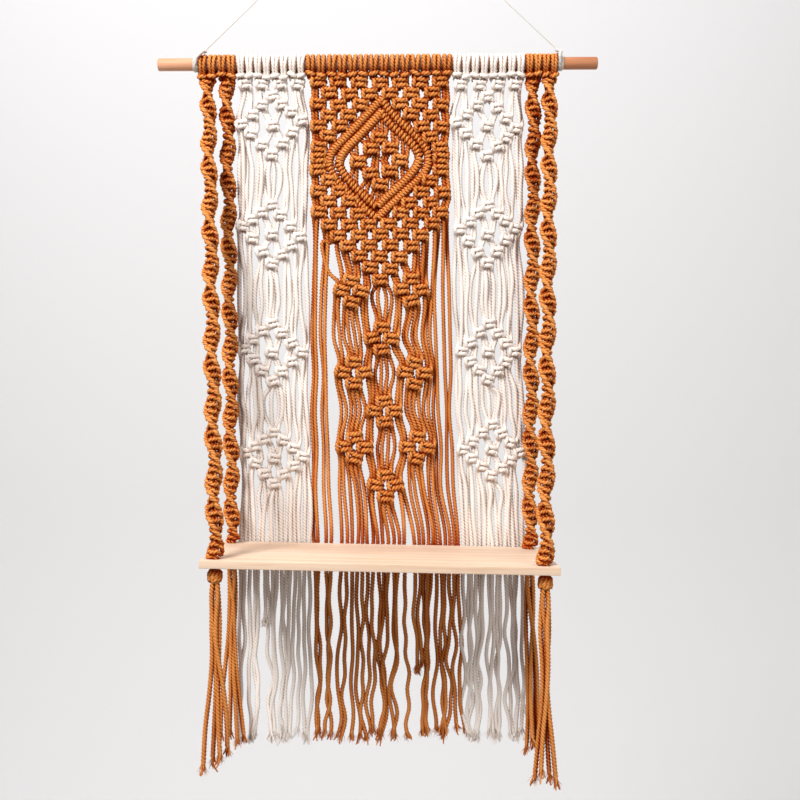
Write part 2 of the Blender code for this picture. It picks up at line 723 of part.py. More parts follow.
def make_white_panel(name, parts, group, bore, profile, look):
    left, right, wraps = HEADERS[name]
    base = header(name, mm(left), mm(right), wraps, parts, skirt=KNOT_ROW_DROP)
    for number, diamond in enumerate(WHITE_DIAMONDS[name]):
        diamond_of_knots(f"{name}_diamond_{number}", diamond, group)
    strands(name + "_strand", white_strands(name), group, profile)
    fuse(base, group, bore)
    finish(base, look)


def make_centre_panel(parts, group, bore, profile, look):
    name = "centre_panel"
    left, right, wraps = HEADERS[name]
    base = header(name, mm(left), mm(right), wraps, parts)
    net_bars(group)
    ridged_diamond("outer_diamond", *OUTER_DIAMOND, group)
    ridged_diamond("inner_diamond", *INNER_DIAMOND, group)
    ring_of_knots("ring_of_eight", [mm(x, 0, z) for x, z in RING_KNOTS], RING_NECK, group)
    for number, (x, z) in enumerate(FLOWERS):
        flower(f"flower_{number}", x, z, group)
    strands("spoke", spokes(), group, profile)
    strands(name + "_strand", centre_strands(), group, profile)
    fuse(base, group, bore)
    finish(base, look)


def make_twine(parts, group, bore, look):
    """One length of twine: tied round the rod's two ends, its middle over the nail."""
    ties = (mm(HEADERS["hanger_front_left"][0]) - TWINE_TIE_OUT,
            mm(HEADERS["hanger_front_right"][1]) + TWINE_TIE_OUT)
    tops = []
    for number, x in enumerate(ties):
        bpy.ops.mesh.primitive_cylinder_add(
            vertices=TWINE_TIE_SIDES, radius=ROD_RADIUS + GAP + 2 * TWINE_RADIUS, depth=TWINE_TIE_WIDTH,
            location=(x, 0, rod_height(x)), rotation=(0, pi / 2, 0))
        adopt(f"twine_tie_{number}", group)
        tops.append(Vector((x, 0, rod_height(x) + ROD_RADIUS + TWINE_RADIUS)))
    left, right = tops
    rise = Vector((0, 0, WRAP_RADIUS + TWINE_KNOT_CLEARANCE - ROD_RADIUS))
    spread = Vector((0, 0, -1)).angle(left)
    arc = []
    for step in range(-NAIL_BEND_STEPS, NAIL_BEND_STEPS + 1):
        lean = step / NAIL_BEND_STEPS * (pi / 2 - spread)
        arc.append(Vector((NAIL_BEND * sin(lean), 0, NAIL_BEND * (cos(lean) - 1) - TWINE_RADIUS)))
    route = [left, left + rise, *arc, right + rise, right]
    body = tube("hanging_twine", route, parts, radius=TWINE_RADIUS)
    fuse(body, group, bore)
    finish(body, look)


def build():
    for old in list(bpy.data.objects):
        bpy.data.objects.remove(old)
    parts = collection("macrame_wall_hanging")
    cutters = collection("cutters")
    looks = {
        "orange": material("orange_cotton", ORANGE, 0.9),
        "white": material("white_cotton", WHITE, 0.9),
        "pine": material("pine_board", PINE, 0.55),
        "dowel": material("dowel_wood", DOWEL, 0.5),
    }
    bore = rod_bore(cutters)
    profile = strand_profile(cutters)
    make_rod(parts, looks["dowel"])
    make_board(parts, cutters, looks["pine"])
    for name in hole_places():
        make_hanger(name, parts, collection("sinnet_" + name), bore, looks["orange"])
        make_tassel(name, parts, collection("strands_" + name), profile, looks["orange"])
    for name in WHITE_DIAMONDS:
        make_white_panel(name, parts, collection("bars_" + name), bore, profile, looks["white"])
    make_centre_panel(parts, collection("bars_centre_panel"), bore, profile, looks["orange"])
    make_twine(parts, collection("twine_ties"), bore, looks["white"])


build()
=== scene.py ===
"""Looks of a macrame wall hanging: every cord is followed knot by knot and twisted from three plies.

Tables and ways of cords are in millimetres, as x, front (towards the viewer), z and size. Fibres,
materials and the stage are in metres.
"""

from math import atan, cos, pi, radians, sin, tan

import bmesh
import bpy
import numpy as np
from mathutils import Matrix, Vector


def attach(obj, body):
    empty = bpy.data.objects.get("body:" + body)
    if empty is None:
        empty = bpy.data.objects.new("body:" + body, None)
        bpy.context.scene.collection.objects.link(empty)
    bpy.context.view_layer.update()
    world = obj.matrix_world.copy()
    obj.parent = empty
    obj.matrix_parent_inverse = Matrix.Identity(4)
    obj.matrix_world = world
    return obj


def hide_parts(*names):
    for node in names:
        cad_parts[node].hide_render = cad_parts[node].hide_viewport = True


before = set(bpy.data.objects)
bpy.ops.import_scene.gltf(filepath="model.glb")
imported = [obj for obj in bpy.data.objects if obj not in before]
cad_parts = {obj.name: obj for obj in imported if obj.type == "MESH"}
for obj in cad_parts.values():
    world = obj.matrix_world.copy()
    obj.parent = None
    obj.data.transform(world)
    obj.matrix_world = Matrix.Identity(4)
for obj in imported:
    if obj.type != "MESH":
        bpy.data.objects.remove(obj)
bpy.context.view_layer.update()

# ---- sizes ---------------------------------------------------------------------------------------

ORANGE_CORD = 2.75                 # radius of a cord
WHITE_CORD = 2.65
LEAD = 10.5                        # length in which its plies turn once
PLIES = 3
CORD_SIDES = 6                     # three crests and three grooves
PLY_GROOVE = 0.33                  # depth of a groove, as a share of the radius
WHITE_GROOVE = 0.27
RING_STEP = 1.4                    # between two rings of a cord's mesh
LONG_STRETCH = 11.0                # from which a straight stretch is bent smoothly
TAUT_STRETCH = 150.0               # from which it is pulled straight
BEND_POINTS = 10                   # pieces of a stretch that is bent
FINE_STEP = 0.5                    # of the way before it is softened
SOFTNESS = 1.2                     # how far a corner of a way is rounded

ROD_LENGTH = 482.0
ROD_RADIUS = 6.8
ROD_MIDDLE = (-1.0, -199.5)
ROD_TILT = radians(0.37)
BOARD_LENGTH, BOARD_DEPTH, BOARD_THICKNESS = 350.0, 150.0, 8.0
BOARD_MIDDLE_X = 2.5
BOARD_FRONT = 4.5                  # of its back edge, before the strands
BOARD_TOP = -726.7
BOARD_TILT = radians(1.25)
HOLE_INSET = 13.5
HOLE_RADIUS = 5.2
BOARD_EDGE = 0.7                   # radius of the board's worn edges
ROD_END = ((0.0, 0.9), (0.25, 0.35), (0.9, 0.0))     # its worn edge: from the end, and how much thinner
ROD_SIDES, ROD_RINGS, HOLE_SIDES = 40, 12, 32

# Lark's heads on the rod, from x to x, and their strands.
HEADERS = {
    "hanger_front_left": (-198.0, -177.3, 4),
    "hanger_back_left": (-177.0, -156.1, 4),
    "left_white_panel": (-155.8, -80.7, 16),
    "centre_panel": (-80.4, 80.2, 28),
    "right_white_panel": (80.5, 160.4, 16),
    "hanger_back_right": (160.7, 178.3, 4),
    "hanger_front_right": (178.6, 196.3, 4),
}
FIRST_ROW = -223.0
FIRST_ROW_KNOTS = {
    "left_white_panel": (-146.3, -127.0, -107.8, -89.1),
    "right_white_panel": (90.2, 111.1, 130.9, 149.6),
}
# Middle (x and z), half width, half height, and how far the left and right corners are raised.
WHITE_DIAMONDS = {
    "left_white_panel": (
        (-117.0, -268, 33.0, 32, 1.5, 5.5),
        (-117.5, -387, 31.5, 32, 9.0, -3.0),
        (-116.5, -516, 32.0, 32, 4.0, 0.0),
        (-114.5, -632, 31.5, 28, 5.5, 1.5),
    ),
    "right_white_panel": (
        (118.5, -268, 33.0, 32, 3.5, -3.0),
        (119.5, -387, 30.5, 32, 5.5, 6.0),
        (120.5, -516, 29.5, 31, 1.0, 0.0),
        (124.0, -623, 31.5, 28, 0.0, -3.0),
    ),
}
# First strands of a white diamond's knots, for each column from its middle to its sides.
DIAMOND_GROUPS = {0: (7,), 1: (5, 9), 2: (3, 11), 3: (1, 13)}
WHITE_STRANDS = 16
WHITE_MIDDLE = (WHITE_STRANDS + 1) / 2
WHITE_PITCH = 4.9
# Middle and pitch of the fringe.
WHITE_FRINGE = {"left_white_panel": (-114.5, 5.0), "right_white_panel": (127.5, 4.6)}
# Between two diamonds: shares of the way down where the strands are led, how far they bow, their size.
WHITE_STOPS = (0.42, 0.62)
WHITE_BOW = 1.6
WHITE_LOOSE_SIZE = 1.1

NET_TOP = -220.4
NET_ROW_PITCH = 11.95
NET_ROWS = 19
NET_MIDDLE = 1.5
NET_PITCH = 22.4
NET_FULL_ROWS = 14
NET_COLUMN_ROWS = (7, 8, 9)          # rows beside the diamond, with knots at the net's edges only
NET_EDGES = (1, 25)                  # first strands of the knots at its edges
NET_FIRST = 13                       # first strand of a knot in its middle
NET_SWAY, NET_SAG = 0.9, 1.1         # how far its knots lie off the grid
# Sides of the two diamonds of double half hitches, from the top down, as x and z.
OUTER_SIDES = {
    "upper left": ((3.3, -238.2), (-1.1, -242.7), (-17.6, -260.3), (-35.2, -279.0), (-51.7, -296.5),
                   (-54.7, -303.1), (-55.0, -310.2)),
    "lower left": ((-55.0, -310.2), (-53.4, -316.8), (-49.0, -325.1), (-42.4, -333.1), (-29.7, -346.0),
                   (-15.4, -359.2), (-8.8, -365.2), (-1.7, -370.2)),
    "upper right": ((3.3, -238.2), (6.1, -243.1), (12.1, -251.4), (25.6, -265.1), (38.7, -276.7),
                    (50.4, -290.2), (54.5, -297.0), (55.0, -304.7)),
    "lower right": ((55.0, -304.7), (54.5, -310.2), (51.7, -316.8), (44.0, -326.7), (31.1, -338.1),
                    (17.9, -350.6), (4.4, -363.0), (-1.7, -370.2)),
}
INNER_SIDES = {
    "upper left": ((2.8, -252.5), (-0.6, -256.6), (-19.8, -277.2), (-39.1, -297.6), (-42.9, -303.6),
                   (-43.7, -310.2)),
    "lower left": ((-43.7, -310.2), (-42.4, -315.2), (-38.2, -321.8), (-27.5, -333.9), (-16.0, -345.2),
                   (-5.0, -354.8), (-1.7, -357.0)),
    "upper right": ((2.8, -252.5), (8.8, -262.4), (20.9, -273.9), (33.6, -285.2), (41.8, -293.7),
                    (44.6, -303.6)),
    "lower right": ((44.6, -303.6), (42.9, -310.2), (37.4, -317.9), (24.8, -331.5), (11.6, -343.2),
                    (1.7, -352.6), (-1.7, -357.0)),
}
NET_HOLE = ((3.5, -237.5), (-54, -307), (1, -371), (54, -299))   # corners of the net's diamond
NET_MARGIN = 1.1
# Ring of eight knots: middle and first of its four strands, counted across the panel.
RING_KNOTS = (((0.9, -282), 13), ((-7.8, -293.5), 11), ((12.3, -293), 15), ((-21.5, -308), 9),
              ((23, -306), 17), ((-8.6, -320), 11), ((13, -317.5), 15), ((2.5, -332), 13))
RING_MIDDLE = (0.5, -305.5)
RING_FILLERS = ((-6.5, 13), (-2.2, 14), (2.2, 15), (6.5, 16))    # aside of the ring's middle, strand
CROSSING = range(5, 25)              # strands that cross the outer diamond
SPOKES = range(9, 21)                # of these, the ones that are seen inside the inner one
BEFORE_BAR, BEHIND_BAR = 0.5, -1.2   # front of a strand above and below a bar, and behind it
SPOKE_PITCH = 5.7
SPOKE_ENDS = ((2, -1.2), (-3.5, 0), (-7, 0.3))                   # above the inner bar, and front
SPOKE_SIZE = 1.08
# Flowers of four knots: middle and first of the eight strands.
FLOWERS = (((-29.7, -450), 5), ((35.7, -448), 17), ((3.5, -501.5), 11), ((-27.5, -538.5), 5),
           ((39.5, -539), 17), ((6.5, -581), 11), ((-26.5, -620.5), 5), ((42, -621), 17), ((7.7, -662), 11))
# Knots of a flower: strands after its first, aside and up of its middle.
FLOWER_PLAN = ((2, 0, 11.6), (0, -10.9, 0.5), (4, 10.9, 0.5), (2, 0, -11.6))
FLOWER_CLEAR = 22                    # above and below a flower, where no level leads its strands

CENTRE_STRANDS = 28
CENTRE_MIDDLE = (CENTRE_STRANDS + 1) / 2
# Heights where the strands are led, with x of some strands; the others hang evenly between them.
CENTRE_LEVELS = (
    (-450, {1: -73, 2: -70, 3: -63, 4: -59.5, 5: -46, 12: -13.5, 17: 19.5,
            24: 52, 25: 57, 26: 61.5, 27: 71, 28: 76}),
    (-501.5, {1: -73, 2: -70, 3: -63, 4: -59.5, 5: -48.5, 10: -21, 11: -13, 18: 20, 19: 26.5,
              24: 52, 25: 57, 26: 61.5, 27: 72, 28: 77}),
    (-538.5, {1: -72, 2: -68.5, 3: -61.5, 4: -58, 5: -44, 12: -11, 17: 23,
              24: 56, 25: 60.5, 26: 65, 27: 73, 28: 78}),
    (-581, {1: -73, 2: -70, 3: -63, 4: -57.5, 5: -42, 10: -16, 11: -10, 18: 23, 19: 29,
            24: 54, 25: 60.5, 26: 65, 27: 73.5, 28: 78}),
    (-620.5, {1: -72, 2: -68.5, 3: -61.5, 4: -57, 5: -43, 12: -10, 17: 25.5,
              24: 58.5, 25: 63, 26: 67.5, 27: 75, 28: 79.5}),
    (-662, {1: -72, 2: -68.5, 3: -61.5, 4: -55, 5: -44, 10: -16, 11: -9, 18: 24, 19: 35,
            24: 59.5, 25: 64, 26: 68.5, 27: 76.5, 28: 81}),
    (-723, {1: -70.5, 2: -67, 3: -58.5, 4: -53, 5: -41, 17: 27.5, 18: 39.5, 28: 87}),
)
SWINGING_STRAND = ((-61, -394), (-60.5, -412), (-54, -430))      # way of the fifth strand past the net
FRINGE_TOP = -735
FRINGE_END = -930
FRINGE_UNEVEN = 6.0
FRINGE_STEP = 8.0
FRAY_LENGTH = 6.0
# Spacing of the bunches that the loose ends lean to, and how strongly; size and length of their waves.
FRINGE_BUNCHES = ((19, 2.6), (53, 3.0))
FRINGE_WAVES = ((2.3, 95), (1.0, 48))
SHORT_ENDS = ((-128.0, -806), (-15.4, -884), (37.4, -860), (42.5, -852))     # x and z
SHORT_ENDS_REACH = 2.5             # how far from that x a strand still counts
TIPS_BELOW = BOARD_TOP - 40        # below this, an end of a way is frayed
BUSHY_ABOVE = FRINGE_END + 30      # above this, it is bushy
BUSHY_ENDS = 3                     # brushes on a bushy end, against one on the others
LOOSE_SIZE = 0.94                  # of a cord that nothing pulls, against one in a knot

TASSEL_ENDS = {
    "front_left": ((-168, 143, -923), (-161, 137, -919), (-154, 144, -912), (-147, 139, -908)),
    "back_left": ((-170, 19, -928), (-163, 15, -925), (-155, 21, -933), (-147.5, 16, -932)),
    "back_right": ((160.5, 18, -942), (165.5, 22, -934), (170.5, 15, -938), (176, 19, -940)),
    "front_right": ((156.5, 142, -935), (161.5, 146, -928), (167, 139, -933), (172.5, 143, -938)),
}
TASSEL_CORNERS = ((-2.1, -1.8), (2.1, 1.8), (2.1, -1.8), (-2.1, 1.8))    # of its strands in the hole
TASSEL_TURNS = 9                   # eighths of a turn that each strand takes round the others
TASSEL_WRAP = (5.3, 4.7)           # across and front of these turns

# Square knots: how far across, how far up and how thick they are against the plan below.
NET_KNOT = (1.05, 1.26, 1.1)
RING_KNOT = (1.08, 1.28, 1.12)
FLOWER_KNOT = (1.08, 1.27, 1.12)
WHITE_KNOT = (0.83, 1.06, 0.98)
KNOT_LEAN, FLOWER_LEAN, WHITE_LEAN = 8, 15, 17       # most that a knot leans, in degrees
KNOT_ASIDE, KNOT_UP = 0.7, 0.6                       # most that it lies off its place
# Two workers and a filler of a square knot, from its middle: across, front, up, size.
FRONT_WORKER = (
    (-5.8, 0.4, 5.6, 1), (-6.2, 2.0, 3.9, 1), (-3.7, 4.6, 2.6, 1.1), (0.3, 5.3, 2.4, 1.2),
    (3.8, 4.7, 2.4, 1.1), (6.1, 2.6, 1.9, 0.97), (6.8, 1.0, 0, 0.92), (6.1, 2.6, -1.9, 0.97),
    (3.8, 4.7, -2.3, 1.1), (0.3, 5.3, -2.4, 1.2), (-3.7, 4.6, -2.5, 1.1), (-6.2, 2.0, -3.7, 1),
    (-5.8, 0.2, -5.6, 1))
BACK_WORKER = (
    (6.2, 1.2, 5.4, 1), (6.3, 4.6, 3.6, 0.9), (5.4, 3.6, 1.2, 0.85), (4.4, 0, 0.2, 0.8),
    (2.2, -3.8, 0.8, 0.95), (-2.2, -3.8, 1.8, 0.95), (-4.8, -1.4, 3.8, 0.85), (-6.4, 3.0, 4.8, 0.9),
    (-7.0, 5.4, 3.0, 1), (-7.1, 6.0, 0, 1.05), (-7.0, 5.2, -3.0, 1), (-5.8, 2.0, -4.9, 0.9),
    (-4.4, -1.2, -3.8, 0.85), (-2.2, -3.8, -2.2, 0.95), (2.2, -3.8, -1.4, 0.95), (4.6, -0.4, -0.8, 0.8),
    (5.6, 4.0, -1.6, 0.85), (6.3, 4.6, -3.6, 0.9), (6.2, 1.2, -5.4, 1))
FILLER = ((2.2, 0, 5.4, 1), (2.0, 0, 0, 0.95), (2.2, 0, -5.4, 1))

# Lark's heads.
BAR_DROP = 12.8                    # of the bar in front, below the rod's axis
BAR_UNEVEN = 1.7
BAR_MIDDLE = (8.6, 1.12)           # front and size
BAR_END = ((0.5, 7.6, 0.0, 1.06), (1.7, 3.8, 0.8, 0.9))    # outwards of the strand, front, up, size
WRAP_PRESS = 0.5                   # how much a cord is flattened on the rod
WRAP_OUT = ROD_RADIUS + WHITE_CORD - WRAP_PRESS      # from the rod's axis to a wrap's middle
WRAP_ANGLES = (225, 180, 135, 90, 45, 10, -23)       # from behind, over the top to the front
WRAP_LEAN = 0.9
CENTRE_WRAP, OTHER_WRAPS = 0.97, 0.94                # sizes of the cords that lie on the rod
WHITE_DROP, HANGER_DROP = 2.2, 1.6                   # how much lower than the centre's their bars hang

# Double half hitches.
COIL_ACROSS, COIL_DEPTH, COIL_SIZE = 3.75, 3.9, 0.84
COIL_POINTS = 10                   # of one turn
COIL_FRONT = 0.8
COIL_UNEVEN = 0.12
HOLDER_SIZE = 1.3
BAR_SOFTNESS, COIL_SOFTNESS = 3.0, 0.7
COIL_GROOVE = 0.17
SMOOTH_COIL, RIDGED_COIL = (3.5, 0.2), (4.4, 1.3)    # length of a turn, and its slant

# A worker of a spiral sinnet over two half knots: across and depth as shares, and half knots down.
SINNET_WORKER = (
    (0.6, 1, -0.12), (-0.6, 1, 0.12), (-0.95, 0.3, 0.25), (-1.05, 0.5, 0.6), (-1.0, 1.3, 1.0),
    (-0.95, 1.2, 1.3), (-0.7, 0, 1.35), (-0.4, -1, 1.05), (0.4, -1, 1.25), (0.7, -0.2, 0.95),
    (0.95, 1.2, 0.85), (1.0, 1.3, 1.1), (1.05, 0.6, 1.5), (0.95, 0.35, 1.8))
SINNET_HALF_KNOTS = 70
SINNET_ACROSS = 6.7
SINNET_DEPTH = 2.9
SINNET_SOFTNESS = 1.0
HALF_KNOT_TURN = radians(-36)
# Degrees that each spiral is turned at its top.
SINNET_BEGIN = {"front_left": 0, "back_left": 50, "back_right": 20, "front_right": 0}
SINNET_TOP = (2.5, -14)            # front, and z against the rod's axis
SINNET_LIFT = 7                    # of its last half knot above the board
SINNET_FILLERS = ((2, -0.3), (3, 0.3))               # strand and share across
# Strands in the hole of the board: aside and ahead of its middle.
SINNET_TAILS = ((1, -2.2, 1.2), (2, -1.2, -1.8), (3, 1.2, 1.8), (4, 2.2, -1.2))

# The hanging twine: its radius and how it is twisted; side, x of the coils and x of the knot of a tie.
TWINE, TWINE_LEAD, TWINE_STEP, TWINE_SOFTNESS = 0.75, 8.0, 0.8, 0.7
TWINE_TIES = ((-1, -200.0, -190.6), (1, 198.9, 195.8))
TWINE_COIL = 7.9                   # radius of the coils round the rod
TWINE_COIL_STEPS = 38              # eighths of a turn
TWINE_COIL_PITCH = 0.13            # along the rod, for each of them
TWINE_KNOT = 1.6                   # radius of the loops of its knots
TWINE_TOP = -0.9                   # height of the bend in its middle
TWINE_SHOULDER = (1.3, -1.4)       # aside and height of that bend's two ends

# Parted plies: middle and spread of how long they are, how far they part and how much they curl.
PLY_REACH, PLY_SPREAD, PLY_CURL = (10.5, 3.5), (3.0, 1.8), (0.0, 2.0)
PLY_SHARES = (-0.35, 0.0, 0.35, 0.7, 1.0)            # points of a ply, as shares of its length
PLY_TAPER = 0.45
PLY_THICKNESS = 0.5                # radius against the cord's
PLY_STEP, PARTED_GROOVE = 2.0, 0.2
# Brushes of fibres: their number, and how a fibre leans, is shifted, turns, bends and tapers.
FIBRES = 34
FIBRE_LEAN = (0.42, 0.42, 0.1)
FIBRE_SHIFT = (0.0016, 0.0016, 0.001)
FIBRE_SPIN = (0, 0, 6.28)
FIBRE_SIZES = (0.55, 1.15)
FIBRE_FOOT, FIBRE_TIP = -0.002, 0.0105
FIBRE_BEND = (0.0022, -0.0012)
FIBRE_RADIUS, FIBRE_TAPER = 0.00034, 0.6

# Cotton: what its fibres, the tone of a cord and broad clouds add to its shade, and the colours' stops.
FIBRE_SHADE, TONE_SHADE, CLOUD_SHADE = 0.5, 0.2, 0.3
COTTON_STOPS = (0.12, 0.5, 0.9)
COTTON_ROUGHNESS, COTTON_SPECULAR = 0.92, 0.1
COTTON_FIBRES = (950, 950, 270)    # fineness across a cord and along it
COTTON_CLOUDS = 38.0
COTTON_RELIEF = (0.5, 0.0006)      # strength and depth
# Wood: what its rings, fine grain, flecks and broad bands add to its shade, and their fineness.
YEAR_SHADE, GRAIN_SHADE, FLECK_SHADE, BAND_SHADE = 0.08, 0.40, 0.16, 0.36
WOOD_STOPS = (0.22, 0.5, 0.78)
WOOD_SWAY, WOOD_FLECKS, WOOD_BANDS = (3.0, 14, 14), (60, 1400, 1400), (3.5, 30, 30)
WOOD_SLANT = 0.6                   # of its rings
WOOD_RELIEF = (0.35, 0.0004)
PAPER_COLOUR, PAPER_ROUGHNESS = (0.88, 0.88, 0.89), 0.9

# The stage, in metres and watts. Lights: place, aim, width, power and colour.
LIGHTS = {
    "key_light": ((-1.1, -1.72, 1.05), (0, 0, -0.5), 0.9, 84, (1.0, 0.985, 0.965)),
    "fill_light": ((2.0, -2.3, 0.6), (0, 0, -0.5), 2.0, 30, (1.0, 0.94, 0.89)),
    "backdrop_light": ((-1.7, 1.5, 1.9), (-1.3, 3.2, 0.9), 1.0, 7, (0.99, 0.99, 1.0)),
    "backdrop_wash": ((0.0, 0.6, 3.4), (0.0, 3.2, -0.6), 2.5, 88, (0.975, 0.985, 1.0)),
}
WORLD_COLOUR, WORLD_STRENGTH = (1.0, 0.94, 0.90), 0.25
SWEEP_HALF_WIDTH = 7.0
SWEEP_FRONT, SWEEP_FLOOR, SWEEP_BACK, SWEEP_TOP = -0.8, -2.2, 3.2, 5.0
SWEEP_BEND, SWEEP_STEPS = 1.2, 12  # radius of its bend, and pieces of it
CAMERA_PLACE = (0.011, -1.264, -0.5643)
SENSOR_WIDTH = 36                  # millimetres
# The picture's width, the camera's focal length and how far down and to the right it looks, in pixels.
PICTURE_WIDTH, FOCAL_LENGTH, LOOK_DOWN, LOOK_RIGHT = 800, 1149, 4, 11

chance = np.random.default_rng(23)


def jitter(size):
    """A seeded number between -size and size."""
    return float(chance.uniform(-size, size))


def about(middle, spread):
    """A seeded number that is at most spread away from middle."""
    return middle + jitter(spread)


def rod_height(x):
    """Height of the rod's axis."""
    return ROD_MIDDLE[1] + (x - ROD_MIDDLE[0]) * tan(ROD_TILT)


def board_top(x):
    """Height of the board's top."""
    return BOARD_TOP - (x - BOARD_MIDDLE_X) * tan(BOARD_TILT)


def hole_places():
    """x and front of the four holes of the board."""
    half = BOARD_LENGTH / 2 - HOLE_INSET
    back = BOARD_FRONT + HOLE_INSET
    front = BOARD_FRONT + BOARD_DEPTH - HOLE_INSET
    return {
        "front_left": (BOARD_MIDDLE_X - half, front),
        "back_left": (BOARD_MIDDLE_X - half, back),
        "back_right": (BOARD_MIDDLE_X + half, back),
        "front_right": (BOARD_MIDDLE_X + half, front),
    }


# ---- objects -------------------------------------------------------------------------------------

def linked(name, data):
    """A new object in the scene."""
    made = bpy.data.objects.new(name, data)
    bpy.context.scene.collection.objects.link(made)
    return made


def new_curve(name, dimensions):
    """An empty curve, 2D or 3D."""
    curve = bpy.data.curves.new(name, "CURVE")
    curve.dimensions = dimensions
    return curve


def plain_mesh(maker):
    """The mesh that an object's curve or modifiers make; the object itself is removed."""
    bpy.context.view_layer.update()
    graph = bpy.context.evaluated_depsgraph_get()
    mesh = bpy.data.meshes.new_from_object(maker.evaluated_get(graph), preserve_all_data_layers=True,
                                           depsgraph=graph)
    source = maker.data
    bpy.data.objects.remove(maker)
    (bpy.data.curves if isinstance(source, bpy.types.Curve) else bpy.data.meshes).remove(source)
    return mesh


def finished(name, work, look, smooth_angle=40):
    """An object of a worked mesh, smooth but for its sharp edges."""
    mesh = bpy.data.meshes.new(name)
    work.to_mesh(mesh)
    work.free()
    mesh.materials.append(look)
    mesh.shade_smooth()
    mesh.set_sharp_from_angle(angle=radians(smooth_angle))
    return linked(name, mesh)


# ---- node trees ----------------------------------------------------------------------------------

class Wire:
    """An output of a node tree that can be reckoned with like a number."""

    def __init__(self, tree, socket):
        self.tree = tree
        self.socket = socket

    def maths(self, operation, *values):
        node = self.tree.nodes.new("ShaderNodeMath")
        node.operation = operation
        for socket, value in zip(node.inputs, values):
            feed(self.tree, socket, value)
        return Wire(self.tree, node.outputs[0])

    def __add__(self, other):
        return self.maths("ADD", self, other)

    def __radd__(self, other):
        return self.maths("ADD", other, self)

    def __sub__(self, other):
        return self.maths("SUBTRACT", self, other)

    def __rsub__(self, other):
        return self.maths("SUBTRACT", other, self)

    def __mul__(self, other):
        return self.maths("MULTIPLY", self, other)

    def __rmul__(self, other):
        return self.maths("MULTIPLY", other, self)

    def __truediv__(self, other):
        return self.maths("DIVIDE", self, other)

    def __rtruediv__(self, other):
        return self.maths("DIVIDE", other, self)


def feed(tree, socket, value):
    """Link a wire to a socket, or set the socket to a plain value."""
    if isinstance(value, Wire):
        tree.links.new(value.socket, socket)
    else:
        socket.default_value = value


class Tree:
    """Adds nodes to a node tree."""

    def __init__(self, tree):
        self.tree = tree

    def node(self, kind, settings=None, **values):
        """A new node: its settings first, then what goes into its sockets.

        A socket is named with _ for a blank, by its identifier where two have the same name.
        """
        made = self.tree.nodes.new(kind)
        for name, value in (settings or {}).items():
            if name == "stops":
                set_stops(made.color_ramp, value)
            elif name == "captures":
                for title, value_kind in value.items():
                    made.capture_items.new(value_kind, title)
            else:
                setattr(made, name, value)
        sockets = {}
        for socket in reversed(made.inputs):
            if socket.enabled:
                sockets[socket.identifier] = sockets[socket.name.replace(" ", "_")] = socket
        for name, value in values.items():
            feed(self.tree, sockets[name], value)
        return made

    def wires(self, kind, outputs, settings=None, **values):
        """Outputs of a new node, as wires."""
        made = self.node(kind, settings, **values)
        return [Wire(self.tree, made.outputs[output]) for output in outputs]

    def wire(self, kind, settings=None, output=0, **values):
        """One output of a new node, as a wire."""
        return self.wires(kind, (output,), settings, **values)[0]

    def scatter(self, most, seed, least=None):
        """A random number or vector, from least (or the opposite of most) to most."""
        if least is None:
            least = tuple(-part for part in most)
        kind = "FLOAT_VECTOR" if isinstance(most, tuple) else "FLOAT"
        return self.wire("FunctionNodeRandomValue", {"data_type": kind}, "Value", Min=least, Max=most,
                         Seed=seed)

    def stored(self, geometry, name, value, kind="FLOAT", domain="POINT"):
        """The geometry, with a value stored under a name."""
        return self.wire("GeometryNodeStoreNamedAttribute", {"data_type": kind, "domain": domain},
                         Geometry=geometry, Name=name, Value=value)

    def noise(self, place, scale, detail, roughness=0.5):
        """Noise that is stretched along each axis by its own amount."""
        scaled = self.wire("ShaderNodeMapping", Vector=place, Scale=scale)
        return self.wire("ShaderNodeTexNoise", Vector=scaled, Scale=1.0, Detail=detail, Roughness=roughness)


def set_stops(ramp, stops):
    """Give a colour ramp its (place, colour) stops."""
    while len(ramp.elements) < len(stops):
        ramp.elements.new(1.0)
    for element, (place, colour) in zip(ramp.elements, stops):
        element.position = place
        element.color = (*colour, 1)


def new_geometry_tree(name, **inputs):
    """A geometry node tree with named inputs, and the wires of those inputs."""
    group = bpy.data.node_groups.new(name, "GeometryNodeTree")
    group.interface.new_socket("Geometry", in_out="INPUT", socket_type="NodeSocketGeometry")
    for title, kind in inputs.items():
        group.interface.new_socket(title, in_out="INPUT", socket_type=kind)
    group.interface.new_socket("Geometry", in_out="OUTPUT", socket_type="NodeSocketGeometry")
    tree = Tree(group)
    given = tree.node("NodeGroupInput")
    wires = [Wire(group, given.outputs[title]) for title in ("Geometry", *inputs)]
    return (tree, *wires)


def hand_out(tree, geometry):
    """End a geometry tree with what it makes."""
    tree.node("NodeGroupOutput", Geometry=geometry)
    return tree.tree


